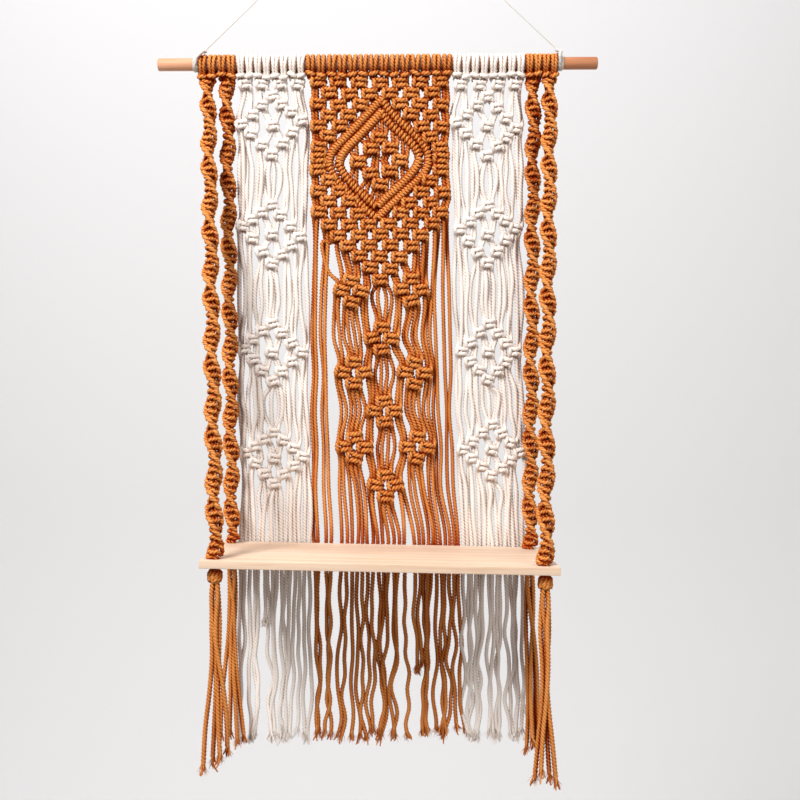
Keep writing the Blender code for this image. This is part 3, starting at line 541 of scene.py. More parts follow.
def twisted_cord_tree():
    """Turns bare curves into cords of three plies, with what their material needs to know."""
    tree, curves, lead, groove, look = new_geometry_tree(
        "twisted_cord", Lead="NodeSocketFloat", Groove="NodeSocketFloat", Material="NodeSocketMaterial")
    curves = tree.stored(curves, "strand_tone", tree.scatter(1.0, seed=5, least=0.0), domain="CURVE")
    curves, along, thick = tree.wires(
        "GeometryNodeCaptureAttribute", ("Geometry", "along", "thick"),
        {"captures": {"along": "FLOAT", "thick": "FLOAT"}}, Geometry=curves,
        along=tree.wire("GeometryNodeSplineParameter", output="Length"),
        thick=tree.wire("GeometryNodeInputRadius"))
    curves = tree.wire("GeometryNodeSetCurveTilt", Curve=curves, Tilt=along * (-2 * pi) / lead)

    outline = tree.wire("GeometryNodeCurvePrimitiveCircle", Resolution=CORD_SIDES, Radius=1.0)
    index = tree.wire("GeometryNodeInputIndex")
    valley = index.maths("MODULO", index, 2.0)
    corner = tree.wire("GeometryNodeInputPosition")
    shrunk = tree.wire("ShaderNodeVectorMath", {"operation": "SCALE"}, Vector=corner,
                       Scale=1.0 - valley * groove)
    outline = tree.wire("GeometryNodeSetPosition", Geometry=outline, Position=shrunk)
    outline, valley, corner = tree.wires(
        "GeometryNodeCaptureAttribute", ("Geometry", "valley", "corner"),
        {"captures": {"valley": "FLOAT", "corner": "VECTOR"}},
        Geometry=outline, valley=valley, corner=corner)

    skin = tree.wire("GeometryNodeCurveToMesh", Curve=curves, Profile_Curve=outline, Scale=thick,
                     Fill_Caps=True)
    across, deep = tree.wires("ShaderNodeSeparateXYZ", ("X", "Y"), Vector=corner)
    cord_place = tree.wire("ShaderNodeCombineXYZ", X=across * thick, Y=deep * thick, Z=along)
    skin = tree.stored(skin, "cord_place", cord_place, "FLOAT_VECTOR")
    # crest is 1 on the plies' ridges and 0 in their grooves; the cotton paints shade into the grooves from
    # it.
    skin = tree.stored(skin, "crest", 1.0 - valley)
    skin = tree.wire("GeometryNodeSetShadeSmooth", Geometry=skin)
    skin = tree.wire("GeometryNodeRealizeInstances", Geometry=skin)
    skin = tree.wire("GeometryNodeSetMaterial", Geometry=skin, Material=look)
    return hand_out(tree, skin)


def frayed_end_tree():
    """Puts a small brush of fibres on every point, along the point's own direction."""
    tree, points, count, look = new_geometry_tree(
        "frayed_end", Fibres="NodeSocketInt", Material="NodeSocketMaterial")
    points = tree.wire("GeometryNodeMeshToPoints", Mesh=points, Radius=0.001)
    points = tree.wire("GeometryNodeDuplicateElements", {"domain": "POINT"}, "Geometry", Geometry=points,
                       Amount=count)
    points = tree.wire("GeometryNodeSetPosition", Geometry=points, Offset=tree.scatter(FIBRE_SHIFT, seed=4))
    way = tree.wire("GeometryNodeInputNamedAttribute", {"data_type": "FLOAT_VECTOR"}, Name="way")
    aim = tree.wire("ShaderNodeVectorMath", {"operation": "ADD"}, Vector=way,
                    Vector_001=tree.scatter(FIBRE_LEAN, seed=3))
    turn = tree.wire("FunctionNodeAlignRotationToVector", {"axis": "Z"}, Vector=aim)
    spin = tree.wire("FunctionNodeEulerToRotation", Euler=tree.scatter(FIBRE_SPIN, seed=9, least=(0, 0, 0)))
    turn = tree.wire("FunctionNodeRotateRotation", {"rotation_space": "LOCAL"}, Rotation=turn,
                     Rotate_By=spin)
    least, most = FIBRE_SIZES
    size = tree.wire("ShaderNodeCombineXYZ", X=1.0, Y=1.0, Z=tree.scatter(most, seed=7, least=least))

    line = tree.wire("GeometryNodeCurvePrimitiveLine", Start=(0, 0, FIBRE_FOOT), End=(0, 0, FIBRE_TIP))
    line = tree.wire("GeometryNodeResampleCurve", Curve=line, Count=4)
    share = tree.wire("GeometryNodeSplineParameter", output="Factor")
    bend = tree.wire("ShaderNodeCombineXYZ", X=share * share * FIBRE_BEND[0],
                     Y=share * share * share * FIBRE_BEND[1])
    line = tree.wire("GeometryNodeSetPosition", Geometry=line, Offset=bend)
    outline = tree.wire("GeometryNodeCurvePrimitiveCircle", Resolution=3, Radius=FIBRE_RADIUS)
    fibre = tree.wire("GeometryNodeCurveToMesh", Curve=line, Profile_Curve=outline,
                      Scale=1.0 - share * FIBRE_TAPER)
    # The fibres count as lying near a crest, so the painted groove shade leaves them light.
    fibre = tree.stored(fibre, "crest", 0.75)
    fibre = tree.stored(fibre, "strand_tone", 0.5)
    fibre = tree.wire("GeometryNodeSetShadeSmooth", Geometry=fibre)
    brush = tree.wire("GeometryNodeInstanceOnPoints", Points=points, Instance=fibre, Rotation=turn,
                      Scale=size)
    brush = tree.wire("GeometryNodeRealizeInstances", Geometry=brush)
    brush = tree.wire("GeometryNodeSetMaterial", Geometry=brush, Material=look)
    return hand_out(tree, brush)


# ---- materials -----------------------------------------------------------------------------------

def new_material(name, roughness, sheen=0.0, specular=0.25):
    """A material, the tree to build it in and its shader."""
    made = bpy.data.materials.new(name)
    made.use_nodes = True
    shader = made.node_tree.nodes["Principled BSDF"]
    shader.inputs["Roughness"].default_value = roughness
    shader.inputs["Sheen Weight"].default_value = sheen
    shader.inputs["Sheen Roughness"].default_value = 0.6
    shader.inputs["Specular IOR Level"].default_value = specular
    return made, Tree(made.node_tree), shader


def shade_and_relief(tree, shader, shade, stops, colours, relief, strength, depth):
    """Base Color from a shade, through colours at their stops, and Normal from a relief."""
    ramp = tree.wire("ShaderNodeValToRGB", {"stops": tuple(zip(stops, colours))}, Fac=shade)
    feed(tree.tree, shader.inputs["Base Color"], ramp)
    bump = tree.wire("ShaderNodeBump", Height=relief, Strength=strength, Distance=depth)
    feed(tree.tree, shader.inputs["Normal"], bump)


def cord_material(name, *colours, sheen, crests, occlusion_shade_strength, reach, dimming):
    """Twisted cotton with fibres; painted shade darkens its grooves and where cords or other parts lie
    close, and its crests are painted lighter.

    crests and closeness set how much of this painted shade the grooves and the closeness give, reach is
    how far off a cord or part still counts as close, and dimming is taken off the shade as a whole.
    """
    made, tree, shader = new_material(name, COTTON_ROUGHNESS, sheen, COTTON_SPECULAR)
    place = tree.wire("ShaderNodeAttribute", {"attribute_name": "cord_place"}, "Vector")
    crest = tree.wire("ShaderNodeAttribute", {"attribute_name": "crest"}, "Fac")
    tone = tree.wire("ShaderNodeAttribute", {"attribute_name": "strand_tone"}, "Fac")
    whole = tree.wire("ShaderNodeTexCoord", output="Object")
    fibres = tree.noise(place, COTTON_FIBRES, 3.0, 0.6)
    cloudy = tree.wire("ShaderNodeTexNoise", Vector=whole, Scale=COTTON_CLOUDS, Detail=2.0)
    painted_occlusion_shade = tree.wire("ShaderNodeAmbientOcclusion", {"samples": 6}, "AO", Distance=reach)
    # Painted shade: the grooves and the ambient occlusion of cords and parts nearby darken the colour, and
    # the crests lighten it; fibres, each cord's tone and broad clouds are the cotton's own.
    shade = (crest * crests + fibres * FIBRE_SHADE + (painted_occlusion_shade - 0.5) * occlusion_shade_strength
             + (tone - 0.5) * TONE_SHADE + (cloudy - 0.5) * CLOUD_SHADE - dimming)
    shade_and_relief(tree, shader, shade, COTTON_STOPS, colours, fibres, *COTTON_RELIEF)
    return made


def wood_material(name, *colours, ring_scale, grain, roughness, knotty, painted_falloff_shade):
    """Planed wood with its grain along X; its last number paints shade, that much darker each metre to the
    right, standing in for light that falls off away from the left.
    """
    made, tree, shader = new_material(name, roughness)
    whole = tree.wire("ShaderNodeTexCoord", output="Object")
    sway = tree.noise(whole, WOOD_SWAY, 3.0)
    right, across, upright = tree.wires("ShaderNodeSeparateXYZ", "XYZ", Vector=whole)
    rings = (across + upright * WOOD_SLANT + sway * knotty) * ring_scale
    early = rings.maths("SINE", rings) * 0.5 + 0.5
    fine = tree.noise(whole, grain, 4.0, 0.65)
    flecks = tree.noise(whole, WOOD_FLECKS, 2.0)
    bands = tree.noise(whole, WOOD_BANDS, 2.0)
    shade = early * YEAR_SHADE + fine * GRAIN_SHADE + flecks * FLECK_SHADE + bands * BAND_SHADE
    shade_and_relief(tree, shader, shade - right * painted_falloff_shade, WOOD_STOPS, colours,
                     fine * 0.6 + flecks * 0.4, *WOOD_RELIEF)
    return made


def plain_material(name, colour, roughness):
    """A material of one colour."""
    made, _, shader = new_material(name, roughness)
    shader.inputs["Base Color"].default_value = (*colour, 1)
    return made


# ---- ways of cords -------------------------------------------------------------------------------

def along_way(rows):
    """How far along a way each of its rows lies."""
    return np.concatenate(([0.0], np.cumsum(np.linalg.norm(np.diff(rows[:, :3], axis=0), axis=1))))


def at_even_steps(rows, count):
    """A way as so many rows, evenly far apart."""
    places = along_way(rows)
    even = np.linspace(0, places[-1], count)
    return np.stack([np.interp(even, places, column) for column in rows.T], axis=1)


def flowing(rows):
    """Rows with their long straight stretches replaced by curves that run on smoothly."""
    steps = np.diff(rows, axis=0)
    lengths = np.linalg.norm(steps[:, :3], axis=1)[:, None]
    slopes = steps / lengths
    middle = (slopes[:-1] * lengths[1:] + slopes[1:] * lengths[:-1]) / (lengths[:-1] + lengths[1:])
    slopes = np.concatenate((slopes[:1], middle, slopes[-1:]))
    slopes[:, 3] = 0
    made = [rows[:1]]
    for number, length in enumerate(lengths[:, 0]):
        if LONG_STRETCH < length < TAUT_STRETCH:
            t = np.linspace(0, 1, BEND_POINTS + 1)[1:-1, None]
            made.append((2 * t ** 3 - 3 * t ** 2 + 1) * rows[number]
                        + (t ** 3 - 2 * t ** 2 + t) * length * slopes[number]
                        + (3 * t ** 2 - 2 * t ** 3) * rows[number + 1]
                        + (t ** 3 - t ** 2) * length * slopes[number + 1])
        made.append(rows[number + 1:number + 2])
    return np.concatenate(made)


def rounded(points, step=RING_STEP, softness=SOFTNESS):
    """A way with its corners worn round, as rows at even steps."""
    rows = np.array(points, float)
    moved = np.linalg.norm(np.diff(rows[:, :3], axis=0), axis=1) > 0.05
    rows = flowing(rows[np.concatenate(([True], moved))])
    reach = int(3 * softness / FINE_STEP)
    fine = at_even_steps(rows, max(reach + 2, int(along_way(rows)[-1] / FINE_STEP) + 1))
    weights = np.exp(-0.5 * (np.arange(-reach, reach + 1) * FINE_STEP / softness) ** 2)
    weights /= weights.sum()
    padded = np.concatenate((2 * fine[0] - fine[reach:0:-1], fine, 2 * fine[-1] - fine[-2:-reach - 2:-1]))
    soft = np.stack([np.convolve(column, weights, "valid") for column in padded.T], axis=1)
    return at_even_steps(soft, max(2, round(along_way(soft)[-1] / step) + 1))


def settle(name, maker, tree, **inputs):
    """Run a geometry tree on an object and keep the plain mesh that comes out."""
    run = maker.modifiers.new("form", "NODES")
    run.node_group = tree
    for item in tree.interface.items_tree:
        if item.in_out == "INPUT" and item.name in inputs:
            run[item.identifier] = inputs[item.name]
    mesh = plain_mesh(maker)
    mesh.materials.clear()
    mesh.materials.append(inputs["Material"])
    return linked(name, mesh)


def cords(name, ways, look, radius=ORANGE_CORD, lead=LEAD, groove=PLY_GROOVE, step=RING_STEP,
          softness=SOFTNESS):
    """One object of twisted cords that follow the given ways."""
    curve = new_curve(name, "3D")
    for way in ways:
        rows = rounded(way, step, softness)
        spline = curve.splines.new("POLY")
        spline.points.add(len(rows) - 1)
        places = np.stack((rows[:, 0], -rows[:, 1], rows[:, 2], np.full(len(rows), 1000.0)), axis=1) / 1000
        spline.points.foreach_set("co", places.ravel())
        spline.points.foreach_set("radius", rows[:, 3] * radius / 1000)
    return settle(name, linked(name, curve), CORD_TREE, Lead=lead / 1000, Groove=groove, Material=look)


def unravelled(ends):
    """The plies of each cord's last stretch, parted and curling outwards."""
    ways = []
    for (x, front, z, _), way in ends:
        way = way.normalized()
        aside = way.cross(Vector((0.3, 1, 0.1))).normalized()
        ahead = way.cross(aside)
        begin = jitter(pi)
        for ply in range(PLIES):
            angle = begin + 2 * pi * ply / PLIES
            reach, spread, curl = about(*PLY_REACH), about(*PLY_SPREAD), about(*PLY_CURL)
            points = []
            for share in PLY_SHARES:
                parted = max(0.0, share)
                out = 1.0 + spread * parted ** 1.5
                turn = angle + curl * parted
                point = (Vector((x, front, z)) + way * (reach * share)
                         + aside * (out * cos(turn)) + ahead * (out * sin(turn)))
                points.append((*point, 1.0 - PLY_TAPER * parted))
            ways.append(points)
    return ways


def frays(name, ends, look, fibres):
    """Brushes of loose fibres; ends are pairs of a place and the way it points."""
    mesh = bpy.data.meshes.new(name)
    mesh.from_pydata([(x / 1000, -front / 1000, z / 1000) for (x, front, z, *_), _ in ends], [], [])
    ways = mesh.attributes.new("way", "FLOAT_VECTOR", "POINT")
    for item, (_, way) in zip(ways.data, ends):
        item.vector = Vector((way[0], -way[1], way[2])).normalized()
    return settle(name, linked(name, mesh), FRAY_TREE, Fibres=fibres, Material=look)


# ---- weaving -------------------------------------------------------------------------------------

class Weave:
    """Strands followed from the rod down, from place to place."""

    def __init__(self, count):
        self.heads = {strand: [] for strand in range(1, count + 1)}
        self.places = {strand: [] for strand in range(1, count + 1)}

    def by(self, strand, x, z, front=0.0, size=1.0):
        """The strand passes this place."""
        self.places[strand].append((z, [(x, front, z, size)]))

    def cut(self, strand, z):
        """The strand is out of sight from here to its next place."""
        self.places[strand].append((z, None))

    def knot(self, first, x, z, shape, front=0.0, lean=KNOT_LEAN):
        """A square knot of four strands."""
        wide, high, thick = shape
        lean = radians(jitter(lean))
        x, z = about(x, KNOT_ASIDE), about(z, KNOT_UP)
        plans = (FRONT_WORKER, tuple((-across, *rest) for across, *rest in FILLER), FILLER, BACK_WORKER)
        for number, plan in enumerate(plans):
            points = []
            for across, out, up, size in plan:
                across, up = wide * across, high * up
                points.append((x + across * cos(lean) - up * sin(lean), front + out * thick,
                               z + up * cos(lean) + across * sin(lean), size * thick))
            self.places[first + number].append((z, points))

    def runs(self, strand):
        """The strand's points, parted where it is out of sight."""
        runs = [list(self.heads[strand])]
        for _, points in sorted(self.places[strand], key=lambda place: -place[0]):
            if points is None:
                runs.append([])
            else:
                runs[-1] += points
        return runs

    def ways(self, first=1, last=None):
        """Ways of the strands from first to last; two that share a lark's head are one way there."""
        made = []
        for left in range(first, last or len(self.places), 2):
            left_runs, right_runs = self.runs(left), self.runs(left + 1)
            made.append(left_runs[0][:0:-1] + right_runs[0])
            made += left_runs[1:] + right_runs[1:]
        return [way for way in made if len(way) > 1]


def hang_on_rod(weave, panel, thick=OTHER_WRAPS, drop=0.0):
    """Lark's heads: two strands come from a bar in front, go over the rod and down behind the bar."""
    left, right, wraps = HEADERS[panel]
    pitch = (right - left) / wraps
    for pair in range(wraps // 2):
        middle = left + (2 * pair + 1) * pitch
        rod = rod_height(middle)
        low = about(rod - BAR_DROP - drop, BAR_UNEVEN)
        slant = jitter(BAR_UNEVEN)
        for side, strand in ((-1, 2 * pair + 1), (1, 2 * pair + 2)):
            x = middle + side * pitch / 2
            points = [(middle, BAR_MIDDLE[0], low, BAR_MIDDLE[1])]
            points += [(x + side * out, front, low + side * slant + up, size)
                       for out, front, up, size in BAR_END]
            points.append((x + side, -1.6, rod - 9.6, 0.95))
            lean = jitter(WRAP_LEAN)
            for angle in WRAP_ANGLES:
                lower = ((1 - sin(radians(angle))) / 2) ** 2 if angle < 90 else 0.0
                points.append((x + lean * sin(radians(angle)) - side * 1.5 * lower,
                               WRAP_OUT * cos(radians(angle)), rod + WRAP_OUT * sin(radians(angle)),
                               thick * (1 - 0.15 * lower)))
            points += [(x - side, 4.6, rod - 8.6 - drop / 2, 0.88), (x - side * 0.8, 2.4, low - 1.0, 0.86),
                       (x, 0.6, low - 4.2, 0.97)]
            weave.heads[strand] = points


def white_panel(panel):
    """Sixteen strands with a row of knots and four diamonds of knots."""
    weave = Weave(WHITE_STRANDS)
    hang_on_rod(weave, panel, drop=WHITE_DROP)

    def knot(first, x, z):
        weave.knot(first, x, z, WHITE_KNOT, lean=WHITE_LEAN)

    for number, x in enumerate(FIRST_ROW_KNOTS[panel]):
        knot(4 * number + 1, x, FIRST_ROW)
    levels = WHITE_DIAMONDS[panel]
    for x, z, half_width, half_height, left_up, right_up in levels:
        for column, firsts in DIAMOND_GROUPS.items():
            share = column / 3
            for side, first in zip((-1, 1), firsts):
                up = share * (left_up if side < 0 else right_up)
                knot_x = x + side * share * half_width
                if column == 3:
                    knot(first, knot_x, z + up)
                    continue
                for way in (1, -1):
                    knot(first, knot_x, z + up + way * (1 - share) * half_height)
        knot(7, x, z)
    middle, pitch = WHITE_FRINGE[panel]
    below = [(x, z + 4) for x, z, *_ in levels[1:]] + [(middle, FRINGE_TOP)]
    for (x, z, *_), (next_x, next_z) in zip(levels, below):
        for strand in range(1, WHITE_STRANDS + 1):
            aside = strand - WHITE_MIDDLE
            for share in WHITE_STOPS:
                at = z + (next_z - z) * share
                reach = WHITE_PITCH if next_z != FRINGE_TOP else WHITE_PITCH + (pitch - WHITE_PITCH) * share
                bow = WHITE_BOW * sin(1.3 * strand + 0.02 * z)
                weave.by(strand, x + (next_x - x) * share + aside * reach + bow + jitter(1.4), at,
                         1.0 * (-1) ** strand + jitter(1.0), WHITE_LOOSE_SIZE)
    for strand in range(1, WHITE_STRANDS + 1):
        fringe(weave, strand, middle + (strand - WHITE_MIDDLE) * pitch)
    return weave


def fringe(weave, strand, x):
    """The loose end of a strand, below the board."""
    front = jitter(1.8)
    end = FRINGE_END + FRINGE_UNEVEN + jitter(FRINGE_UNEVEN) - FRAY_LENGTH
    for place, height in SHORT_ENDS:
        if abs(x - place) < SHORT_ENDS_REACH:
            end = height
    drift = jitter(2.5) - sum(pull * sin(2 * pi * (x + 3) / spacing) for spacing, pull in FRINGE_BUNCHES)
    waves = [(size + jitter(size * 0.6), length + jitter(length * 0.3), jitter(pi))
             for size, length in FRINGE_WAVES]
    steps = round((FRINGE_TOP - end) / FRINGE_STEP)
    for step in range(steps + 1):
        share = step / steps
        z = FRINGE_TOP + (end - FRINGE_TOP) * share
        sway = sum(size * (sin(2 * pi * z / length + phase) - sin(2 * pi * FRINGE_TOP / length + phase))
                   for size, length, phase in waves)
        weave.by(strand, x + drift * share ** 1.2 + sway * min(1, 1.5 * share), z,
                 front * (1 - share) + 1.2 * sin(z / 17 + strand),
                 1 + (LOOSE_SIZE - 1) * min(1, 2 * share))


def net_row(row):
    """x and first strand of each knot in a row of the net."""
    count = (7 if row % 2 else 6) if row <= NET_FULL_ROWS else NET_ROWS + 1 - row
    asides = [(column - (count - 1) / 2) * NET_PITCH for column in range(count)]
    return [(NET_MIDDLE + aside, round(NET_FIRST + aside * 4 / NET_PITCH)) for aside in asides]


def diamond_share(x, z, corners):
    """1 on a diamond's sides, less inside it."""
    (_, top), (left, _), (_, bottom), (right, _) = corners
    middle_x, middle_z = (left + right) / 2, (top + bottom) / 2
    return abs(x - middle_x) / ((right - left) / 2) + abs(z - middle_z) / ((top - bottom) / 2)


def evenly(anchors):
    """x of every strand from the few that a level names."""
    named = sorted(anchors)
    return np.interp(range(1, CENTRE_STRANDS + 1), named, [anchors[strand] for strand in named])


def on_side(side, x):
    """Height of a diamond's side at x."""
    places = sorted(side)
    return float(np.interp(x, [place[0] for place in places], [place[1] for place in places]))


def both_bars(sides, strand, x):
    """Heights of a diamond's upper and lower bar where a strand crosses them."""
    hand = "left" if strand < CENTRE_MIDDLE else "right"
    return on_side(sides["upper " + hand], x), on_side(sides["lower " + hand], x)


def centre_panel():
    """Twenty-eight strands: a net that ends in a point, a diamond in it, and nine flowers below."""
    weave = Weave(CENTRE_STRANDS)
    hang_on_rod(weave, "centre_panel", thick=CENTRE_WRAP)
    for row in range(1, NET_ROWS + 1):
        z = NET_TOP - (row - 1) * NET_ROW_PITCH
        for x, first in net_row(row):
            edge = row in NET_COLUMN_ROWS and first in NET_EDGES
            if not edge and (row in NET_COLUMN_ROWS or diamond_share(x, z, NET_HOLE) <= NET_MARGIN):
                continue
            weave.knot(first, x + NET_SWAY * sin(1.9 * first + row),
                       z + NET_SAG * sin(0.23 * first + 1.1 * row), NET_KNOT)
    for first in NET_EDGES:
        row = NET_COLUMN_ROWS[1]
        x = NET_MIDDLE + (first - NET_FIRST) * NET_PITCH / 4
        weave.knot(first, x, NET_TOP - (row - 1) * NET_ROW_PITCH, NET_KNOT)
    for strand in CROSSING:
        x = NET_MIDDLE + (strand - CENTRE_MIDDLE) * NET_PITCH / 4
        upper, lower = both_bars(OUTER_SIDES, strand, x)
        weave.by(strand, x, upper + 1, BEFORE_BAR)
        weave.by(strand, x, upper - 4, BEHIND_BAR)
        if strand not in SPOKES:
            weave.by(strand, x, upper - 9, BEHIND_BAR)
            weave.cut(strand, upper - 9.5)
            weave.by(strand, x, lower + 9, BEHIND_BAR)
        weave.by(strand, x, lower + 4, BEHIND_BAR)
        weave.by(strand, x, lower - 0.5, BEFORE_BAR)
    ring(weave)
    for (x, z), first in FLOWERS:
        for after, aside, up in FLOWER_PLAN:
            weave.knot(first + after, x + aside, z + up, FLOWER_KNOT, 1.5, FLOWER_LEAN)
    levels = [(z, evenly(anchors)) for z, anchors in CENTRE_LEVELS]
    for strand in range(1, CENTRE_STRANDS + 1):
        flowers = [z for (_, z), first in FLOWERS if first <= strand < first + 8]
        for z, places in levels:
            if z == levels[-1][0] or all(abs(z - flower) > FLOWER_CLEAR for flower in flowers):
                weave.by(strand, about(places[strand - 1], 1.3), z, about(0.9 * (-1) ** strand, 1.2), 0.9)
        fringe(weave, strand, levels[-1][1][strand - 1])
    for x, z in SWINGING_STRAND:
        weave.by(5, x, z, 1.0, 0.9)
    return weave


def ring(weave):
    """Eight knots inside the diamonds, hung from the inner bars by single spokes."""
    for (x, z), first in RING_KNOTS:
        weave.knot(first, x, z, RING_KNOT, 0.5)
    for aside, strand in RING_FILLERS:
        weave.by(strand, RING_MIDDLE[0] + aside, RING_MIDDLE[1])
    for strand in SPOKES:
        x = RING_MIDDLE[0] + (strand - CENTRE_MIDDLE) * SPOKE_PITCH
        upper, lower = both_bars(INNER_SIDES, strand, x)
        for above, out in SPOKE_ENDS:
            weave.by(strand, x, upper + above, out, SPOKE_SIZE)
            weave.by(strand, x, lower - above, out, SPOKE_SIZE)


def hitched_side(side, pitch, slant):
    """Coils of double half hitches round a holder, along one side of a diamond."""
    length = along_way(np.array([(x, z, 0.0) for x, z in side]))[-1]
    turns = round(length / pitch)
    rows = rounded([(x, 0, z, 1) for x, z in side], step=length / (turns * COIL_POINTS),
                   softness=BAR_SOFTNESS)
    way = []
    for number, (x, _, z, _) in enumerate(rows):
        before, after = rows[max(0, number - 3)], rows[min(len(rows) - 1, number + 3)]
        along = np.array((after[0] - before[0], after[2] - before[2]))
        along /= np.linalg.norm(along)
        angle = 2 * pi * number / COIL_POINTS
        across = COIL_ACROSS * cos(angle)
        shift = slant * cos(angle) + jitter(COIL_UNEVEN)
        way.append((x + along[0] * shift + along[1] * across, COIL_FRONT + COIL_DEPTH * sin(angle),
                    z + along[1] * shift - along[0] * across, COIL_SIZE))
    return [way, [(x, COIL_FRONT, z, HOLDER_SIZE) for x, _, z, _ in rows[4:-4]]]


def hitched_diamond(sides):
    """The four sides of a diamond; two are smooth and two strongly ridged."""
    ways = []
    for name, side in sides.items():
        smooth = name in ("upper left", "lower right")
        ways += hitched_side(side, *(SMOOTH_COIL if smooth else RIDGED_COIL))
    return ways


def hanger(name):
    """Four strands in a spiral of half knots, from the rod through the board."""
    panel = "hanger_" + name
    weave = Weave(4)
    hang_on_rod(weave, panel, drop=HANGER_DROP)
    left, right, _ = HEADERS[panel]
    middle = (left + right) / 2
    x, front = hole_places()[name]
    start = Vector((middle, -SINNET_TOP[0], rod_height(middle) + SINNET_TOP[1]))
    end = Vector((x, -front, board_top(x) + SINNET_LIFT))
    along = (end - start).normalized()
    side = Vector((0, 1, 0)).cross(along).normalized()
    forward = along.cross(side)
    length = (end - start).length

    def spiral(share, depth, down, size):
        turn = HALF_KNOT_TURN * down + radians(SINNET_BEGIN[name])
        u, v = share * SINNET_ACROSS, depth * SINNET_DEPTH
        point = (start + along * (length * down / SINNET_HALF_KNOTS)
                 + side * (u * cos(turn) - v * sin(turn)) + forward * (u * sin(turn) + v * cos(turn)))
        return (point.x, -point.y, point.z, size)

    routes = {}
    for strand, late in ((1, 0), (4, 1)):
        routes[strand] = [spiral(share, depth, late + 2 * lap + down, 0.97)
                          for lap in range(SINNET_HALF_KNOTS // 2) for share, depth, down in SINNET_WORKER]
    for strand, share in SINNET_FILLERS:
        routes[strand] = [spiral(share, 0, down, 0.9) for down in range(SINNET_HALF_KNOTS + 1)]
    heights = (board_top(x) + 1.5, board_top(x) - 4, board_top(x) - BOARD_THICKNESS - 1)
    for strand, aside, ahead in SINNET_TAILS:
        tail = [(x + aside, front + ahead, z, 0.9) for z in heights]
        weave.places[strand].append((-1.0, routes[strand] + tail))
    return weave.ways()


def tassel(name):
    """The knot below a hole of the board, and its four loose ends."""
    x, front = hole_places()[name]
    top = board_top(x) - BOARD_THICKNESS - 0.5
    ways = []
    for number, ((aside, ahead), tip) in enumerate(zip(TASSEL_CORNERS, TASSEL_ENDS[name])):
        way = [(x + aside * 0.8, front + ahead, top, 0.95),
               (x + aside * 1.2, front + ahead * 1.2, top - 2.5, 1)]
        for step in range(TASSEL_TURNS):
            angle = radians(20 + 90 * number + 45 * step)
            way.append((x + TASSEL_WRAP[0] * cos(angle), front + TASSEL_WRAP[1] * sin(angle),
                        top - 4.2 - 1.0 * step - jitter(0.5), 1.12))
        way.append((x + aside, front + ahead, top - 15, 1))
        root = Vector((x + aside * 1.2, front + ahead * 1.2, top - 20))
        way.append((*root, 1))
        sway, phase = about(1.8, 0.8), jitter(pi)
        for share in (0.2, 0.4, 0.6, 0.8, 1.0):
            point = root.lerp(Vector(tip), share)
            way.append((point.x + sway * sin(phase + 6 * share), point.y + sway * cos(phase + 5 * share),
                        point.z, 1))
        ways.append(way)
    return ways


def twine():
    """The hanging twine: coils and a knot at both ends of the rod, and a bend in its middle."""
    ways = []
    for side, tie, knot in TWINE_TIES:
        rod = rod_height(tie)
        way = [(knot + side * 1.0, -3.0, rod + 12.6, 1.6), (tie + side * 1.0, -7.0, rod + 6.0, 1.6)]
        for step in range(TWINE_COIL_STEPS):
            angle = radians(150 - 45 * step)
            way.append((tie + side * (TWINE_COIL_PITCH * step - 2.2), TWINE_COIL * cos(angle),
                        rod + TWINE_COIL * sin(angle), 1.5))
        way += [(tie - side * 0.5, 9.6, rod - 1.0, 2.0), (tie - side * 1.5, 11.2, rod + 5.0, 2.7),
                (knot + side * 3.0, 9.0, rod + 10.4, 3.0), (knot + side * 1.0, 4.0, rod + 13.4, 2.4)]
        for angle in range(0, 541, 60):
            across, ahead = TWINE_KNOT * cos(radians(angle)), TWINE_KNOT * sin(radians(angle))
            way.append((knot + side * (0.3 + across), ahead, rod + 13.6 + angle / 400, 1.7))
        way += [(knot - side * 1.0, 0, rod + 16.5, 1), (side * TWINE_SHOULDER[0], 0, TWINE_SHOULDER[1], 1)]
        ways.append(way)
    left, right = ways
    return [left + [(0, 0, TWINE_TOP, 1)] + right[::-1]]


# ---- pieces --------------------------------------------------------------------------------------

def lathe(name, rings, sides, look):
    """A round bar along X through (x, radius) rings, closed at its ends."""
    work = bmesh.new()
    loops = [[work.verts.new((x, radius * cos(2 * pi * side / sides), radius * sin(2 * pi * side / sides)))
              for side in range(sides)] for x, radius in rings]
    for one, other in zip(loops, loops[1:]):
        for side in range(sides):
            after = (side + 1) % sides
            work.faces.new((one[side], one[after], other[after], other[side]))
    work.faces.new(loops[0][::-1])
    work.faces.new(loops[-1])
    bmesh.ops.recalc_face_normals(work, faces=work.faces[:])
    return finished(name, work, look)


def make_rod(look):
    """A dowel with worn ends, tilted as it hangs."""
    half = ROD_LENGTH / 2
    ends = [(-half + along, ROD_RADIUS - thinner) for along, thinner in ROD_END]
    span = ROD_LENGTH - 2 * ROD_END[-1][0]
    rings = ends + [(ends[-1][0] + span * step / ROD_RINGS, ROD_RADIUS) for step in range(1, ROD_RINGS)]
    rings += [(-x, radius) for x, radius in ends[::-1]]
    rod = lathe("rod_dowel", [(x / 1000, radius / 1000) for x, radius in rings], ROD_SIDES, look)
    rod.data.transform(Matrix.Translation((ROD_MIDDLE[0] / 1000, 0, ROD_MIDDLE[1] / 1000))
                       @ Matrix.Rotation(-ROD_TILT, 4, "Y"))
    return rod


